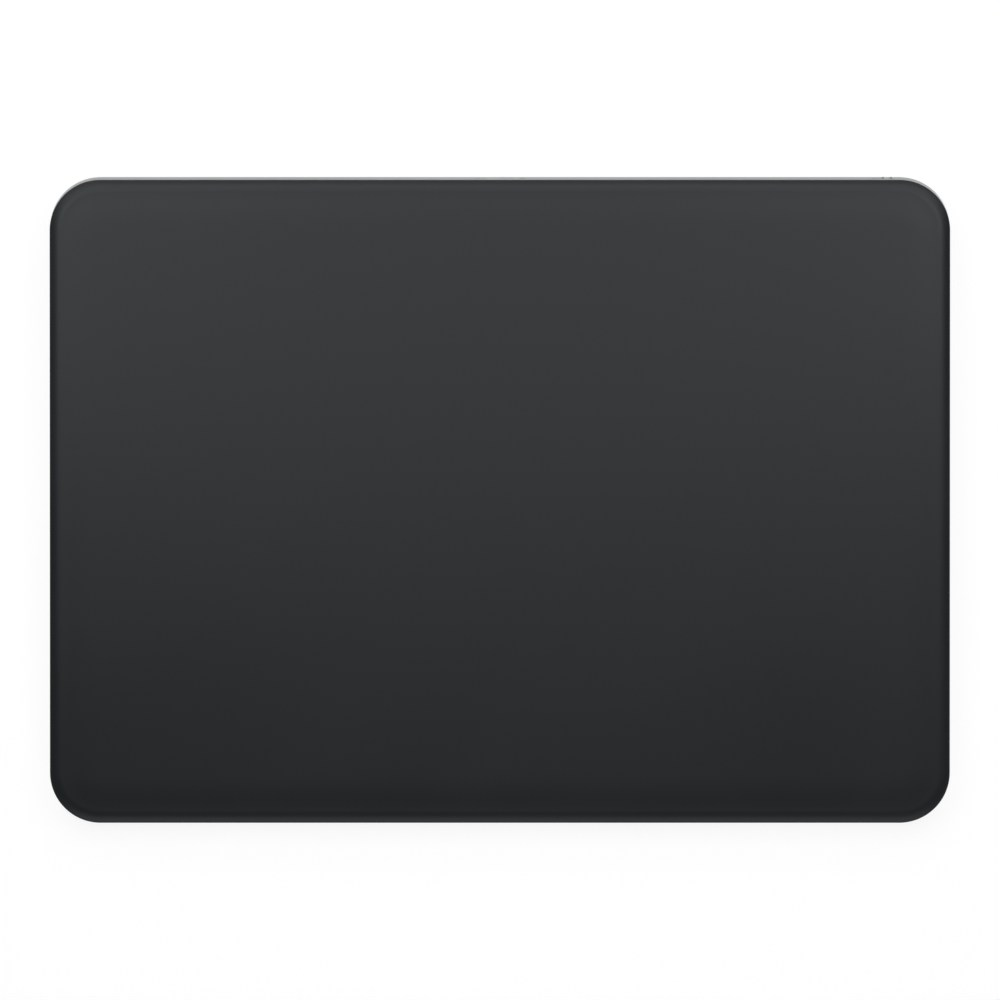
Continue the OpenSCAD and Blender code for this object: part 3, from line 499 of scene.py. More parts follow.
@dataclass(frozen=True)
class Finish:
    """A finish made of nodes: a colour that drifts, a roughness that drifts and a fine relief.

    Attributes:
        name: name of the material.
        colour: main colour, linear.
        drift: colour that it drifts to.
        rough: lowest and highest roughness.
        metallic: 1 for bare metal.
        pattern: fine relief.
        relief_mm: size of one feature of the relief.
        depth_mm: depth of the relief.
        broad_mm: size of the slow drift.
        pattern_colour: colour that the relief's mask paints, or None.
        ior: index of refraction.
        sheen: soft light at grazing angles, as rubber has.
        edge_tint: how bright metal is at grazing angles.
    """

    name: str
    colour: Colour
    drift: Colour
    rough: tuple[float, float]
    metallic: float = 0.0
    pattern: Pattern = Pattern.GRAIN
    relief_mm: float = 0.12
    depth_mm: float = 0.004
    broad_mm: float = 30.0
    pattern_colour: Colour | None = None
    ior: float = 1.5
    sheen: float = 0.0
    edge_tint: float = 1.0

    def material(self, effects: Effects) -> Material:
        """Builds the material.

        Args:
            effects: the shared node groups.

        Returns:
            The new material.
        """
        made = bpy.data.materials.new(self.name)
        made.use_nodes = True
        tree = made.node_tree
        shader = tree.nodes["Principled BSDF"]
        shader.inputs["Metallic"].default_value = self.metallic
        shader.inputs["IOR"].default_value = self.ior
        shader.inputs["Sheen Weight"].default_value = self.sheen
        shader.inputs["Specular Tint"].default_value = (self.edge_tint, self.edge_tint, self.edge_tint, 1.0)
        place = add_node(tree, "ShaderNodeTexCoord").outputs["Object"]
        broad = self._group(tree, effects.broad, place, self.broad_mm)
        relief = self._group(tree, effects.groups[self.pattern], place, self.relief_mm)
        tint = add_node(
            tree, "ShaderNodeMix",
            {0: broad.outputs["Mask"], 6: (*self.colour, 1.0), 7: (*self.drift, 1.0)}, data_type="RGBA",
        ).outputs[2]
        if self.pattern_colour:
            tint = add_node(
                tree, "ShaderNodeMix",
                {0: relief.outputs["Mask"], 6: tint, 7: (*self.pattern_colour, 1.0)}, data_type="RGBA",
            ).outputs[2]
        gloss = add_node(
            tree, "ShaderNodeMapRange", {0: broad.outputs["Mask"], 3: self.rough[0], 4: self.rough[1]}
        )
        bump = add_node(
            tree, "ShaderNodeBump",
            {"Height": relief.outputs["Height"], "Strength": 1.0, "Distance": self.depth_mm * MM},
        )
        tree.links.new(tint, shader.inputs["Base Color"])
        tree.links.new(gloss.outputs[0], shader.inputs["Roughness"])
        tree.links.new(bump.outputs[0], shader.inputs["Normal"])
        return made

    @staticmethod
    def _group(tree: NodeTree, group: NodeTree, place: NodeSocket, size_mm: float) -> Node:
        """Places a shared group in a material.

        Args:
            tree: the material's node tree.
            group: the shared group.
            place: coordinates that it reads.
            size_mm: size of one feature.

        Returns:
            The group's node.
        """
        node = tree.nodes.new("ShaderNodeGroup")
        node.node_tree = group
        tree.links.new(place, node.inputs["Vector"])
        node.inputs["Scale"].default_value = 1 / (size_mm * MM)
        return node


FINISHES: dict[str, Finish] = {
    "glass": Finish(
        "etched_black_glass", (0.0046, 0.0067, 0.0089), (0.0056, 0.0080, 0.0104), (0.36, 0.40),
        relief_mm=0.03, depth_mm=0.0002, broad_mm=45.0, ior=1.45,
    ),
    "aluminium": Finish(
        "blasted_aluminium", (0.50, 0.51, 0.52), (0.55, 0.56, 0.57), (0.34, 0.42), metallic=1.0,
        relief_mm=0.09, depth_mm=0.0025, broad_mm=35.0, edge_tint=0.45,
    ),
    "knob": Finish(
        "satin_aluminium", (0.60, 0.61, 0.62), (0.68, 0.69, 0.70), (0.28, 0.36), metallic=1.0,
        relief_mm=0.06, depth_mm=0.001, broad_mm=3.0,
    ),
    "film": Finish(
        "green_film", (0.08, 0.58, 0.14), (0.11, 0.66, 0.19), (0.42, 0.55),
        relief_mm=0.05, broad_mm=2.0,
    ),
    "rubber_feet": Finish(
        "pale_rubber", (0.62, 0.62, 0.63), (0.70, 0.70, 0.71), (0.62, 0.78),
        relief_mm=0.14, depth_mm=0.008, broad_mm=6.0, sheen=0.15,
    ),
    "black_foam": Finish(
        "black_foam", (0.012, 0.012, 0.012), (0.026, 0.026, 0.026), (0.82, 0.95),
        relief_mm=0.10, depth_mm=0.02, broad_mm=8.0,
    ),
    "isolator_gel": Finish(
        "dark_gel", (0.10, 0.12, 0.13), (0.14, 0.16, 0.17), (0.30, 0.45),
        relief_mm=0.2, depth_mm=0.003, broad_mm=3.0,
    ),
    "spring_steel": Finish(
        "spring_steel", (0.42, 0.43, 0.45), (0.50, 0.51, 0.53), (0.24, 0.34), metallic=1.0,
        pattern=Pattern.BRUSHED, relief_mm=0.08, depth_mm=0.002, broad_mm=9.0,
    ),
    "stainless": Finish(
        "stainless_sheet", (0.42, 0.42, 0.43), (0.49, 0.49, 0.50), (0.24, 0.34), metallic=1.0,
        pattern=Pattern.BRUSHED, relief_mm=0.07, depth_mm=0.0015, broad_mm=14.0,
    ),
    "soft_iron": Finish(
        "laminated_iron", (0.30, 0.31, 0.33), (0.36, 0.37, 0.39), (0.38, 0.50), metallic=1.0,
        pattern=Pattern.LAYERS, relief_mm=0.6, depth_mm=0.01, broad_mm=7.0,
    ),
    "copper_wire": Finish(
        "enamelled_copper", (0.66, 0.30, 0.12), (0.76, 0.40, 0.18), (0.20, 0.32), metallic=1.0,
        relief_mm=0.2, depth_mm=0.002, broad_mm=2.5,
    ),
    "circuit_board": Finish(
        "solder_mask", (0.015, 0.10, 0.05), (0.022, 0.13, 0.065), (0.28, 0.40),
        pattern=Pattern.TRACES, relief_mm=1.6, depth_mm=0.02, broad_mm=12.0,
        pattern_colour=(0.035, 0.19, 0.10),
    ),
    "flat_cable": Finish(
        "polyimide_film", (0.66, 0.31, 0.05), (0.78, 0.42, 0.10), (0.24, 0.36),
        pattern=Pattern.BRUSHED, relief_mm=0.5, depth_mm=0.006, broad_mm=6.0,
    ),
    "chip_plastic": Finish(
        "moulded_black", (0.022, 0.022, 0.023), (0.034, 0.034, 0.035), (0.45, 0.60),
        relief_mm=0.09, depth_mm=0.004, broad_mm=4.0,
    ),
    "socket_plastic": Finish(
        "moulded_ivory", (0.76, 0.73, 0.64), (0.82, 0.79, 0.71), (0.42, 0.55),
        relief_mm=0.1, depth_mm=0.003, broad_mm=4.0,
    ),
    "ceramic": Finish(
        "fired_ceramic", (0.50, 0.38, 0.25), (0.60, 0.46, 0.31), (0.40, 0.55),
        relief_mm=0.08, depth_mm=0.003, broad_mm=1.0,
    ),
    "gold": Finish(
        "gold_plating", (0.82, 0.61, 0.22), (0.88, 0.69, 0.29), (0.18, 0.28), metallic=1.0,
        relief_mm=0.06, depth_mm=0.001, broad_mm=1.5,
    ),
    "gauge_foil": Finish(
        "gauge_foil", (0.72, 0.52, 0.15), (0.84, 0.65, 0.25), (0.28, 0.40),
        pattern=Pattern.LAYERS, relief_mm=0.4, depth_mm=0.004, broad_mm=2.0,
    ),
    "antenna_plastic": Finish(
        "antenna_moulding", (0.08, 0.08, 0.09), (0.12, 0.12, 0.13), (0.44, 0.58),
        pattern=Pattern.TRACES, relief_mm=3.0, depth_mm=0.01, broad_mm=6.0,
        pattern_colour=(0.30, 0.22, 0.12),
    ),
    "cell_foil": Finish(
        "laminated_foil", (0.26, 0.27, 0.29), (0.34, 0.35, 0.37), (0.30, 0.44), metallic=1.0,
        relief_mm=2.4, depth_mm=0.03, broad_mm=12.0,
    ),
    "white_tape": Finish(
        "adhesive_film", (0.80, 0.80, 0.79), (0.88, 0.88, 0.87), (0.50, 0.65),
        relief_mm=0.3, depth_mm=0.01, broad_mm=8.0,
    ),
    # the screws' own dark steel, also put on the switch's ridges as painted shade
    "screw_steel": Finish(
        "blackened_steel_and_painted_shade", (0.20, 0.20, 0.21), (0.29, 0.29, 0.30), (0.30, 0.42), metallic=1.0,
        relief_mm=0.08, depth_mm=0.002, broad_mm=1.5,
    ),
}


class Workshop:
    """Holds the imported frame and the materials, and dresses pieces and nodes by their slots."""

    def __init__(self, frame: dict) -> None:
        """Builds every finish once.
        """
        effects = Effects()
        self.nodes: dict[str, Object] = frame["nodes"]
        self.slots: dict[str, str] = {s["node"]: s["material_slot"] for s in frame["record"]["subparts"]}
        self.materials = {slot: finish.material(effects) for slot, finish in FINISHES.items()}

    def dress(self, obj: Object, slot: str) -> Object:
        """Gives a piece the finish of a slot.

        Args:
            obj: the piece.
            slot: material slot of the record.

        Returns:
            The same piece.
        """
        obj.data.materials.clear()
        obj.data.materials.append(self.materials[slot])
        return obj

    def stand_for(self, obj: Object, slot: str, node: str) -> Object:
        """Dresses a piece and lets it stand for a node.

        Args:
            obj: the piece.
            slot: material slot of the record.
            node: node that it replaces.

        Returns:
            The same piece.
        """
        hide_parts(node)
        return self.dress(obj, slot)

    def copy_node(self, node: str, name: str) -> Object:
        """Copies a node's mesh as a piece of its own, merged into one closed shell.

        Args:
            node: node whose shape is copied.
            name: name of the piece.

        Returns:
            The new object.
        """
        mesh = self.nodes[node].data.copy()
        mesh.name = name
        if "custom_normal" in mesh.attributes:
            mesh.attributes.remove(mesh.attributes["custom_normal"])
        return add_piece(name, mesh, merge=NODE_MERGE)

    def dress_nodes(self) -> dict[str, str]:
        """Gives every node its finish, and smooths its curved faces with modifiers only.

        Returns:
            Each node's name, with the name of its finish.
        """
        for node, obj in sorted(self.nodes.items()):
            self.dress(obj, self.slots[node])
            obj.data.polygons.foreach_set("use_smooth", np.ones(len(obj.data.polygons), bool))
            weld = obj.modifiers.new("merge", "WELD")
            weld.merge_threshold = NODE_MERGE
            split = obj.modifiers.new("crisp_edges", "EDGE_SPLIT")
            split.split_angle = math.radians(NODE_CRISP)
            split.use_edge_sharp = False
            obj.modifiers.new("even_shading", "WEIGHTED_NORMAL")
        return {node: FINISHES[self.slots[node]].name for node in sorted(self.nodes)}


@dataclass
class TouchGlass:
    """Glass sheet of the top, with a softly crowned edge, and the foam strip under its rim."""

    width: float = 160.0
    depth: float = DECK.depth
    corner: float = 9.0
    thickness: float = 1.1
    edge_width: float = 2.2
    edge_drop: float = DECK.edge_drop
    side_round: float = 0.2
    under_round: float = 0.15
    lead_width: float = 6.3
    lead_tilt: float = 2.5  # steepest fall before the edge, in degrees
    lead_power: float = 1.8
    rim_level: float = -1.42
    strip_inset: float = 0.5
    strip_width: float = 0.7
    strip_power: float = 0.45
    press_travel: float = 0.2
    corner_steps: int = 40
    run_steps: int = 24
    lead_steps: int = 24
    crown_steps: int = 24
    side_steps: int = 10
    under_steps: int = 6
    strip_steps: int = 28
    strip_corner_steps: int = 24

    def lead_in(self) -> np.ndarray:
        """Soft fall of the flat top towards its edge.

        The slope is the sine of a half turn times a power of the way out, so that it grows slowly and
        levels off again before the crowned edge, and the fall is the running sum of the slope.

        Returns:
            Rows of offset from the outline and height.
        """
        way = np.linspace(0, 1, self.lead_steps + 1)
        x = -self.edge_width - self.lead_width * (1 - way)
        slope = math.tan(math.radians(self.lead_tilt)) * np.sin(np.pi * way**self.lead_power)
        fall = np.concatenate([[0.0], np.cumsum((slope[1:] + slope[:-1]) / 2 * np.diff(x))])
        return np.stack([x, -fall], axis=-1)

    def edge_profile(self) -> np.ndarray:
        """Edge of the sheet, from the flat top round to the flat underside.

        After the lead-in, a large arc falls by the edge drop, a small arc that touches it turns into
        the upright side, and another small arc turns under the sheet.

        Returns:
            Rows of offset from the outline and height.
        """
        w, r = self.edge_width, self.side_round
        crown_r = (w**2 + self.edge_drop**2) / (2 * self.edge_drop)
        rise = math.sqrt((crown_r - r) ** 2 - (w - r) ** 2)
        meet = math.degrees(math.atan2(w - r, rise))
        under = (-self.under_round, self.under_round - self.thickness)
        lead = self.lead_in()
        level = lead[-1, 1]
        return np.concatenate([
            lead,
            arc((-w, level - crown_r), crown_r, 0, meet, self.crown_steps)[1:],
            arc((-r, level + rise - crown_r), r, meet, 90, self.side_steps)[1:],
            arc(under, self.under_round, 90, 180, self.under_steps),
            [[-w, -self.thickness]],
        ])

    def build_sheet(self, shop: Workshop) -> Object:
        """Carries the edge profile round the outline and closes the top and the underside.

        Args:
            shop: frame and materials.

        Returns:
            The sheet.
        """
        loop = rounded_loop(self.width, self.depth, self.corner, self.corner_steps, self.run_steps)
        sheet = Surface().grid(DECK.place(sweep(loop, self.edge_profile())))
        obj = sheet.to_object("touch_glass_sheet", Body.TOUCH_PLATE, "glass")
        return shop.stand_for(obj, "glass", "touch_glass")

    def build_strip(self, shop: Workshop) -> Object:
        """Carries a soft oblong section round the rim.

        The section is a superellipse: the cosine and the sine of a full turn, each raised to a power
        with its sign kept, so that its faces are nearly flat.

        Args:
            shop: frame and materials.

        Returns:
            The strip.
        """
        height = -self.thickness - self.rim_level
        turn = np.linspace(0, 2 * np.pi, self.strip_steps, endpoint=False)
        swell = np.stack([np.cos(turn), np.sin(turn)], axis=-1)
        swell = np.sign(swell) * np.abs(swell) ** self.strip_power
        section = swell * (self.strip_width / 2, height / 2)
        section += (-self.strip_inset - self.strip_width / 2, self.rim_level + height / 2)
        loop = rounded_loop(self.width, self.depth, self.corner, self.strip_corner_steps, self.run_steps)
        strip = Surface().grid(DECK.place(sweep(loop, section)), closed=True)
        obj = strip.to_object("rim_gasket_strip", Body.HOUSING, "black_foam", SOFT_CRISP)
        shop.stand_for(obj, "black_foam", "rim_gasket")
        anchor = DECK.place(np.array([0.0, 0.0, self.rim_level]))
        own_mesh(obj)
        return obj

    def build(self, shop: Workshop) -> Pieces:
        """Builds the sheet and the strip."""
        return [self.build_sheet(shop), self.build_strip(shop)]


@dataclass
class Feet:
    """Four round rubber feet, let into the underside, each with a shallow dish."""

    mid_x: float = 66.0
    mid_y: float = 46.0
    radius: float = 4.6
    height: float = 0.9
    round_edge: float = 0.25
    lip: float = 1.1
    dish: float = 0.09
    dish_slope: float = 0.4
    dish_floor: float = 1.2
    crisp: float = 50.0  # angle in degrees above which an edge stays crisp
    round_steps: int = 72
    slope_steps: int = 8
    edge_steps: int = 8

    def profile(self) -> np.ndarray:
        """Half section of a foot, from its dished face round the edge to its top.

        The dish runs out to the lip along half a wave of the cosine, and the edge is a quarter round.

        Returns:
            Rows of offset from the rim and height.
        """
        e, inner = self.round_edge, -self.round_edge - self.lip
        a = np.linspace(0, np.pi, self.slope_steps + 1)
        offset = inner - self.dish_slope * (1 - a / np.pi)
        return np.concatenate([
            [[inner - self.dish_floor, self.dish]],
            np.stack([offset, self.dish * (1 + np.cos(a)) / 2], axis=-1),
            arc((-e, e), e, 180, 90, self.edge_steps),
            [[0.0, self.height]],
        ])

    def build(self, shop: Workshop) -> Pieces:
        """Turns the half section about each foot's axis.

        Args:
            shop: frame and materials.

        Returns:
            The four feet.
        """
        grid = sweep(circle_loop(self.radius, self.round_steps), self.profile())
        pieces = []
        for corner, sx, sy in CORNERS:
            foot = Surface().grid((grid + (sx * self.mid_x, sy * self.mid_y, 0.0)) * MM)
            obj = foot.to_object(f"foot_{corner}_pad", Body.HOUSING, "rubber_feet", self.crisp)
            pieces.append(shop.stand_for(obj, "rubber_feet", f"foot_{corner}"))
        return pieces


@dataclass
class PowerSwitch:
    """Sliding power switch in the rear wall: cap, two ridges, slider plate and stem."""

    mid_x: float = 68.8
    level: float = -5.9
    cap_l: float = 2.2
    cap_h: float = 2.0
    cap_y: float = 57.0
    cap_soft: float = 0.12
    ridge_y: float = 57.5
    ridge_w: float = 0.4
    ridge_h: float = 1.2
    ridge_gap: float = 1.42
    ridge_round: float = 0.18
    ridge_root: float = 0.3
    slider_y: tuple[float, float] = (54.6, 55.2)
    slider_l: float = 5.6
    slider_h: float = 3.0
    slider_round: float = 0.25
    slider_soft: float = 0.05
    stem_w: float = 1.0
    stem_l: float = 1.2
    stem_round: float = 0.1
    stem_root: float = 0.1
    cap_steps: int = 16
    ridge_steps: int = 8
    slider_steps: int = 6
    soft_steps: int = 6
    run_steps: int = 3

    def bar(self, loop: Loop, ends: tuple[float, float], soft: float, x: float = 0.0) -> np.ndarray:
        """A bar along the deck's Y, whose section is drawn in round a quarter turn at the outer end.

        Args:
            loop: section of the bar in X and Z.
            ends: its inner and its outer end.
            soft: radius of the rounded end.
            x: place of its middle beside the switch's middle.

        Returns:
            A grid of points in the part's frame.
        """
        inner, outer = ends
        profile = np.concatenate([[[0.0, inner]], arc((-soft, outer - soft), soft, 90, 0, self.soft_steps)])
        return DECK.place(lie_along_y(sweep(loop, profile)) + (self.mid_x + x, 0.0, self.level))

    def build_cap(self, shop: Workshop) -> Object:
        """Carries an oblong section from the slider out through the wall.

        Args:
            shop: frame and materials.

        Returns:
            The cap, which stands for the whole knob.
        """
        section = stadium_loop(self.cap_l, self.cap_h, self.cap_steps)
        cap = Surface().grid(self.bar(section, (self.slider_y[0], self.cap_y), self.cap_soft))
        obj = cap.to_object("switch_cap", Body.POWER_SWITCH, "knob")
        return shop.stand_for(obj, "knob", "switch_knob")

    def build_ridges(self, shop: Workshop) -> Object:
        """Sets two upright ridges into the face of the cap, dressed in the dark steel finish as painted
        shade.

        Args:
            shop: frame and materials.

        Returns:
            The ridges.
        """
        section = rounded_loop(
            self.ridge_w, self.ridge_h, self.ridge_round, self.ridge_steps, self.run_steps
        )
        ends = (self.cap_y - self.ridge_root, self.ridge_y)
        ridges = Surface()
        for side in (-1, 1):
            ridges.grid(self.bar(section, ends, self.cap_soft, side * self.ridge_gap / 2))
        # the dark steel finish on the ridges is painted shade, not the knob's own metal
        obj = ridges.to_object("switch_ridges_painted_shade", Body.POWER_SWITCH, "screw_steel")
        return shop.dress(obj, "screw_steel")

    def build_slider(self, shop: Workshop) -> Object:
        """Builds the plate behind the wall and the stem that reaches into the switch's body.

        Args:
            shop: frame and materials.

        Returns:
            The slider.
        """
        root = self.slider_y[0]
        plate = rounded_loop(
            self.slider_l, self.slider_h, self.slider_round, self.slider_steps, self.run_steps
        )
        stem = rounded_loop(self.stem_w, self.stem_w, self.stem_round, self.slider_steps, self.run_steps)
        slider = Surface().grid(self.bar(plate, self.slider_y, self.slider_soft))
        slider.grid(self.bar(stem, (root - self.stem_l, root + self.stem_root), self.slider_soft))
        return shop.dress(slider.to_object("switch_slider", Body.POWER_SWITCH, "knob"), "knob")

    def build(self, shop: Workshop) -> Pieces:
        """Builds the cap, the ridges and the slider."""
        return [self.build_cap(shop), self.build_ridges(shop), self.build_slider(shop)]


@dataclass
class ChargingPort:
    """Steel sleeve of the charging port, with a rolled lip at its mouth."""

    width: float = 8.94
    height: float = 3.16
    wall: float = 0.3
    inner_y: float = 49.85
    mouth_y: float = 57.15
    level: float = -5.9
    end_steps: int = 20
    lip_steps: int = 12

    def build(self, shop: Workshop) -> Pieces:
        """Carries a thin wall with a half round lip round the oblong section.

        Args:
            shop: frame and materials.

        Returns:
            The sleeve.
        """
        half = self.wall / 2
        lip = arc((-half, self.mouth_y - half), half, 90, -90, self.lip_steps)
        wall = np.concatenate([[[0.0, self.inner_y]], lip, [[-self.wall, self.inner_y]]])
        section = stadium_loop(self.width, self.height, self.end_steps)
        grid = lie_along_y(sweep(section, wall)) + (0.0, 0.0, self.level)
        sleeve = Surface().grid(DECK.place(grid), closed=True)
        obj = sleeve.to_object("port_sleeve_rolled", Body.HOUSING, "stainless")
        return [shop.stand_for(obj, "stainless", "port_sleeve")]


@dataclass
class Suspension:
    """Four force springs between the housing and the isolator pads."""

    spring_x: float = 66.0
    root_y: float = 25.4
    pad_y: float = 39.1
    level: float = -2.9

    def build(self, shop: Workshop) -> Pieces:
        """Copies each spring as a piece of its own.

        Args:
            shop: frame and materials.

        Returns:
            The four springs.
        """
        pieces = []
        for corner, sx, sy in CORNERS:
            node = f"force_spring_{corner}"
            obj = shop.copy_node(node, f"{node}_plate")
            pieces.append(shop.stand_for(obj, "spring_steel", node))
            ends = np.array([[sx * self.spring_x, sy * y, self.level] for y in (self.root_y, self.pad_y)])
            start, end = DECK.place(ends)
            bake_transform(obj)
        return pieces


@dataclass
class HapticCoils:
    """Two coils of enamelled wire on the laminated core that pulls the glass sideways."""

    middle: tuple[float, float] = (-1.74, -7.66)
    bottom: float = -4.67
    spacing: float = 10.56
    length: float = 15.0
    core_w: float = 6.4
    core_t: float = 1.05
    layer: float = 0.4
    corner: float = 0.2
    wire_r: float = 0.19
    wire_sides: int = 8
    turns: int = 37
    loop_steps: int = 4

    def winding(self, x: float) -> np.ndarray:
        """A wire wound round the core: the section's loop is followed turn by turn while X grows evenly.

        A point of the wire is the path's point plus the wire's radius times the cosine of the angle
        along the loop's normal and its sine along X.

        Args:
            x: place of the coil's middle.

        Returns:
            A grid of points in the part's frame.
        """
        width, height = self.core_w + self.layer, self.core_t + self.layer
        loop, normals = rounded_loop(width, height, self.corner, self.loop_steps, self.loop_steps)
        path = np.tile(loop, (self.turns, 1))
        out = np.tile(normals, (self.turns, 1))
        reach = self.length / 2 - self.layer / 2
        along = np.linspace(x - reach, x + reach, len(path))
        turn = np.linspace(0, 2 * np.pi, self.wire_sides, endpoint=False)[:, None]
        flat = path[None] + self.wire_r * np.cos(turn)[..., None] * out[None]
        grid = np.stack([along[None] + self.wire_r * np.sin(turn), flat[..., 0], flat[..., 1]], axis=-1)
        grid += (0.0, self.middle[1], self.bottom + self.core_t / 2 + self.layer)
        return DECK.place(grid)

    def build(self, shop: Workshop) -> Pieces:
        """Winds the two coils.

        Args:
            shop: frame and materials.

        Returns:
            The two coils.
        """
        pieces = []
        for side, sign in (("left", -1), ("right", 1)):
            wire = Surface().grid(self.winding(self.middle[0] + sign * self.spacing))
            obj = wire.to_object(f"haptic_coil_{side}_wire", Body.HOUSING, "copper_wire", SOFT_CRISP)
            pieces.append(shop.stand_for(obj, "copper_wire", f"haptic_coil_{side}"))
        return pieces


@dataclass
class SensorCable:
    """Flat cable that loops between the sensor's socket and the logic board's."""

    low_level: float = -4.4
    high_level: float = -2.9
    press_travel: float = 0.2

    def build(self, shop: Workshop) -> Pieces:
        """Copies the cable as a piece on the housing.

        Args:
            shop: frame and materials.

        Returns:
            The cable.
        """
        obj = shop.copy_node("sensor_cable", "sensor_cable_loop")
        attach(obj, Body.HOUSING.value)
        shop.stand_for(obj, "flat_cable", "sensor_cable")
        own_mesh(obj)
        return [obj]


@dataclass(frozen=True)
class Lamp:
    """Soft lamp of the studio.

    Attributes:
        name: name of the lamp.
        place: its middle, in metres.
        size: width and depth of its face, in metres.
        faces: point that it faces, in metres.
        level: brightness of its face, where 1 is white.
    """

    name: str
    place: Point
    size: tuple[float, float]
    faces: Point
    level: float

    def hang(self) -> None:
        """Adds the lamp to the scene, turned to the point that it faces."""
        light = bpy.data.lights.new(self.name, "AREA")
        light.shape = "RECTANGLE"
        light.size, light.size_y = self.size
        light.energy = self.level * LAMP_WATTS * self.size[0] * self.size[1]
        obj = bpy.data.objects.new(light.name, light)
        bpy.context.scene.collection.objects.link(obj)
        aim(obj, self.place, self.faces)


LAMPS = (
    Lamp("overhead", (0.0, 0.0225, 0.3), (0.18, 0.135), (0.0, 0.0225, 0.0), 0.98),
    Lamp("rear", (0.0, 0.1775, 0.3), (0.64, 0.125), (0.0, 0.1775, 0.0), 1.5),
    Lamp("rear_low", (0.0, 0.51, 0.31), (0.9, 0.2), (0.0, 0.0, 0.0), 1.0),
    Lamp("left", (-0.14, 0.045, 0.3), (0.1, 0.09), (-0.14, 0.045, 0.0), 2.8),
    Lamp("right", (0.14, 0.045, 0.3), (0.1, 0.09), (0.14, 0.045, 0.0), 2.8),
    Lamp("front", (0.0, -0.62, 0.52), (0.8, 0.26), (0.0, 0.0, 0.0), 0.95),
)


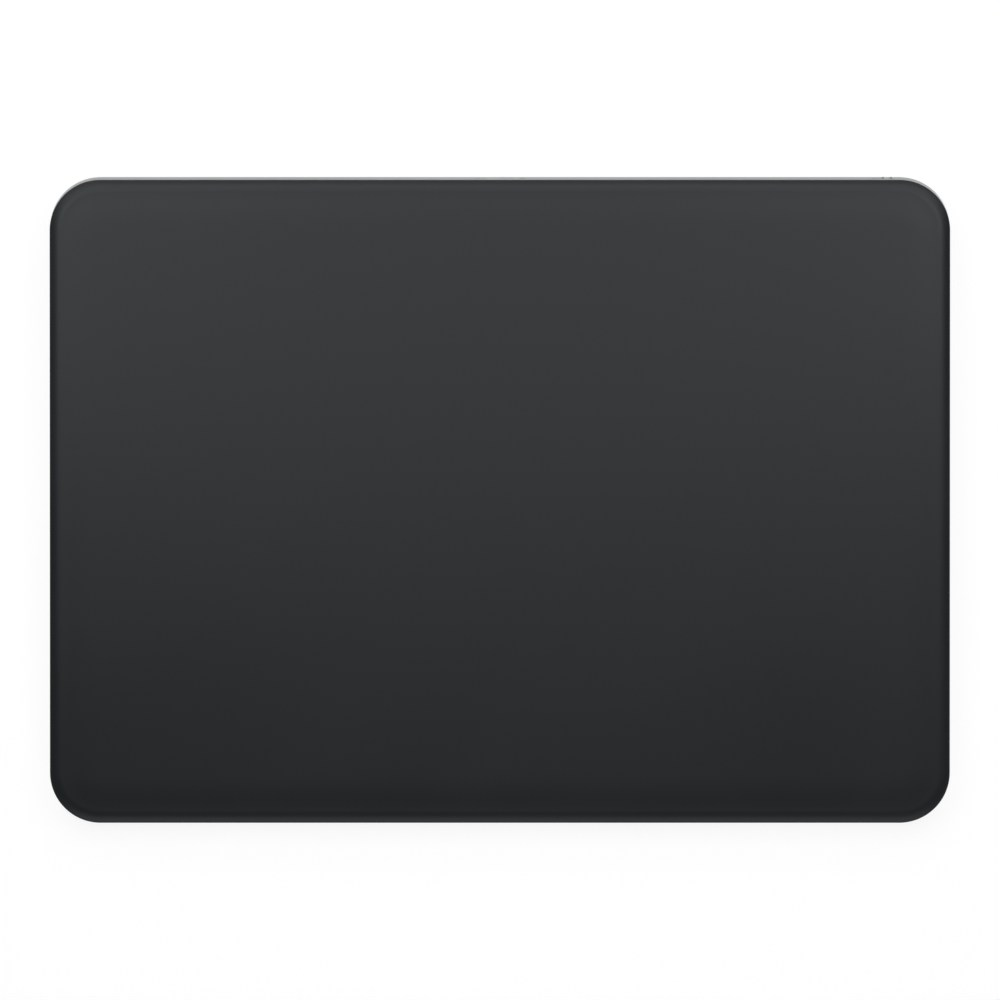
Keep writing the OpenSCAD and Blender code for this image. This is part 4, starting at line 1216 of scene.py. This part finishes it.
@dataclass
class Studio:
    """White floor, soft lamps and a camera far above, which looks almost straight down."""

    frame_mm: float = 177.71  # width that the picture takes in
    lens: float = 1450.0
    sensor: float = 36.0
    clip: tuple[float, float] = (0.1, 100.0)  # nearest and farthest distance seen, in metres
    over_y: float = 57.0
    target: Point = (0.02, 0.035, 8.0)
    floor_half: float = 12.0  # in metres
    floor_drop: float = 0.02
    floor_white: float = 0.95
    floor_glow: float = 0.78  # share of the floor's own white in what is seen of it
    floor_level: float = 1.08
    sky_rim: float = 0.895
    sky_wall: float = 1.3
    sky_ceiling: float = 0.14
    wall_band: tuple[float, float] = (0.03, 0.14)  # sines of the elevation, from the rim to the wall
    ceiling_band: tuple[float, float] = (0.2, 0.5)  # the same, from the wall to the ceiling

    def floor(self) -> None:
        """Adds a pale floor that the camera and reflections see nearly white, with the shadow kept."""
        h, z = self.floor_half, -self.floor_drop * MM
        mesh = bpy.data.meshes.new("floor")
        mesh.from_pydata([(-h, -h, z), (h, -h, z), (h, h, z), (-h, h, z)], [], [(0, 1, 2, 3)])
        obj = bpy.data.objects.new("floor", mesh)
        bpy.context.scene.collection.objects.link(obj)
        made = bpy.data.materials.new("pale_floor")
        made.use_nodes = True
        tree = made.node_tree
        tree.nodes.clear()
        path = add_node(tree, "ShaderNodeLightPath")
        seen = math_node(tree, "MAXIMUM", path.outputs["Is Camera Ray"], path.outputs["Is Glossy Ray"])
        seen = math_node(tree, "MAXIMUM", seen, path.outputs["Is Transmission Ray"])
        share = math_node(tree, "MULTIPLY", seen, self.floor_glow)
        matte = add_node(tree, "ShaderNodeBsdfDiffuse", {"Color": (*([self.floor_white] * 3), 1.0)})
        glow = add_node(tree, "ShaderNodeEmission", {"Color": WHITE, "Strength": self.floor_level})
        mix = add_node(tree, "ShaderNodeMixShader", {0: share, 1: matte.outputs[0], 2: glow.outputs[0]})
        add_node(tree, "ShaderNodeOutputMaterial", {0: mix.outputs[0]})
        mesh.materials.append(made)

    def sky(self) -> None:
        """Sets a studio whose walls are lighter than its ceiling, and meet the floor at its brightness."""
        world = bpy.data.worlds.new("studio")
        world.use_nodes = True
        tree = world.node_tree
        tree.nodes.clear()
        way = add_node(tree, "ShaderNodeTexCoord").outputs["Generated"]
        height = add_node(tree, "ShaderNodeSeparateXYZ", {0: way}).outputs["Z"]
        level: object = self.sky_rim
        for band, upper in ((self.wall_band, self.sky_wall), (self.ceiling_band, self.sky_ceiling)):
            level = add_node(
                tree, "ShaderNodeMapRange", {0: height, 1: band[0], 2: band[1], 3: level, 4: upper},
                interpolation_type="SMOOTHSTEP",
            ).outputs[0]
        glow = add_node(tree, "ShaderNodeBackground", {"Color": WHITE, "Strength": level})
        add_node(tree, "ShaderNodeOutputWorld", {0: glow.outputs[0]})
        bpy.context.scene.world = world

    def camera(self) -> None:
        """Puts the camera over the rear edge, aimed at the middle, so that the rear wall just shows."""
        lens = bpy.data.cameras.new("camera")
        lens.lens, lens.sensor_width, lens.sensor_fit = self.lens, self.sensor, "HORIZONTAL"
        lens.clip_start, lens.clip_end = self.clip
        height = self.frame_mm * self.lens / self.sensor
        obj = bpy.data.objects.new("camera", lens)
        bpy.context.scene.collection.objects.link(obj)
        x, y, z = (v * MM for v in self.target)
        aim(obj, (x, self.over_y * MM, z + height * MM), (x, y, z))
        bpy.context.scene.camera = obj

    def build(self) -> None:
        """Builds the floor and the sky, hangs the lamps and sets up the camera."""
        self.floor()
        self.sky()
        for lamp in LAMPS:
            lamp.hang()
        self.camera()
        bpy.context.scene.view_settings.view_transform = "Standard"


def aim(obj: Object, place: Point, target: Point) -> None:
    """Puts a lamp or the camera at a place and turns it to a target, with +Y up in its picture.

    Args:
        obj: lamp or camera.
        place: where it stands, in metres.
        target: point that it faces, in metres.
    """
    back = (Vector(place) - Vector(target)).normalized()
    right = Vector((0.0, 1.0, 0.0)).cross(back).normalized()
    turn = Matrix((right, back.cross(right), back)).transposed().to_4x4()
    obj.matrix_world = Matrix.Translation(place) @ turn


def clear_scene() -> None:
    """Removes what a new scene starts with."""
    for obj in list(bpy.data.objects):
        bpy.data.objects.remove(obj)


def main() -> None:
    """Dresses the nodes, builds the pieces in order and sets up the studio."""
    logging.basicConfig(level=logging.INFO, format="%(name)s: %(message)s")
    clear_scene()
    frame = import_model()
    shop = Workshop(frame)
    for node, finish in shop.dress_nodes().items():
        LOG.info("%s: %s", node, finish)
    for assembly in (
        TouchGlass(), Feet(), PowerSwitch(), ChargingPort(), Suspension(), HapticCoils(), SensorCable()
    ):
        for piece in assembly.build(shop):
            LOG.info("%s: %d faces", piece.name, len(piece.data.polygons))
    Studio().build()
    bpy.context.view_layer.update()


if __name__ == "__main__":
    main()
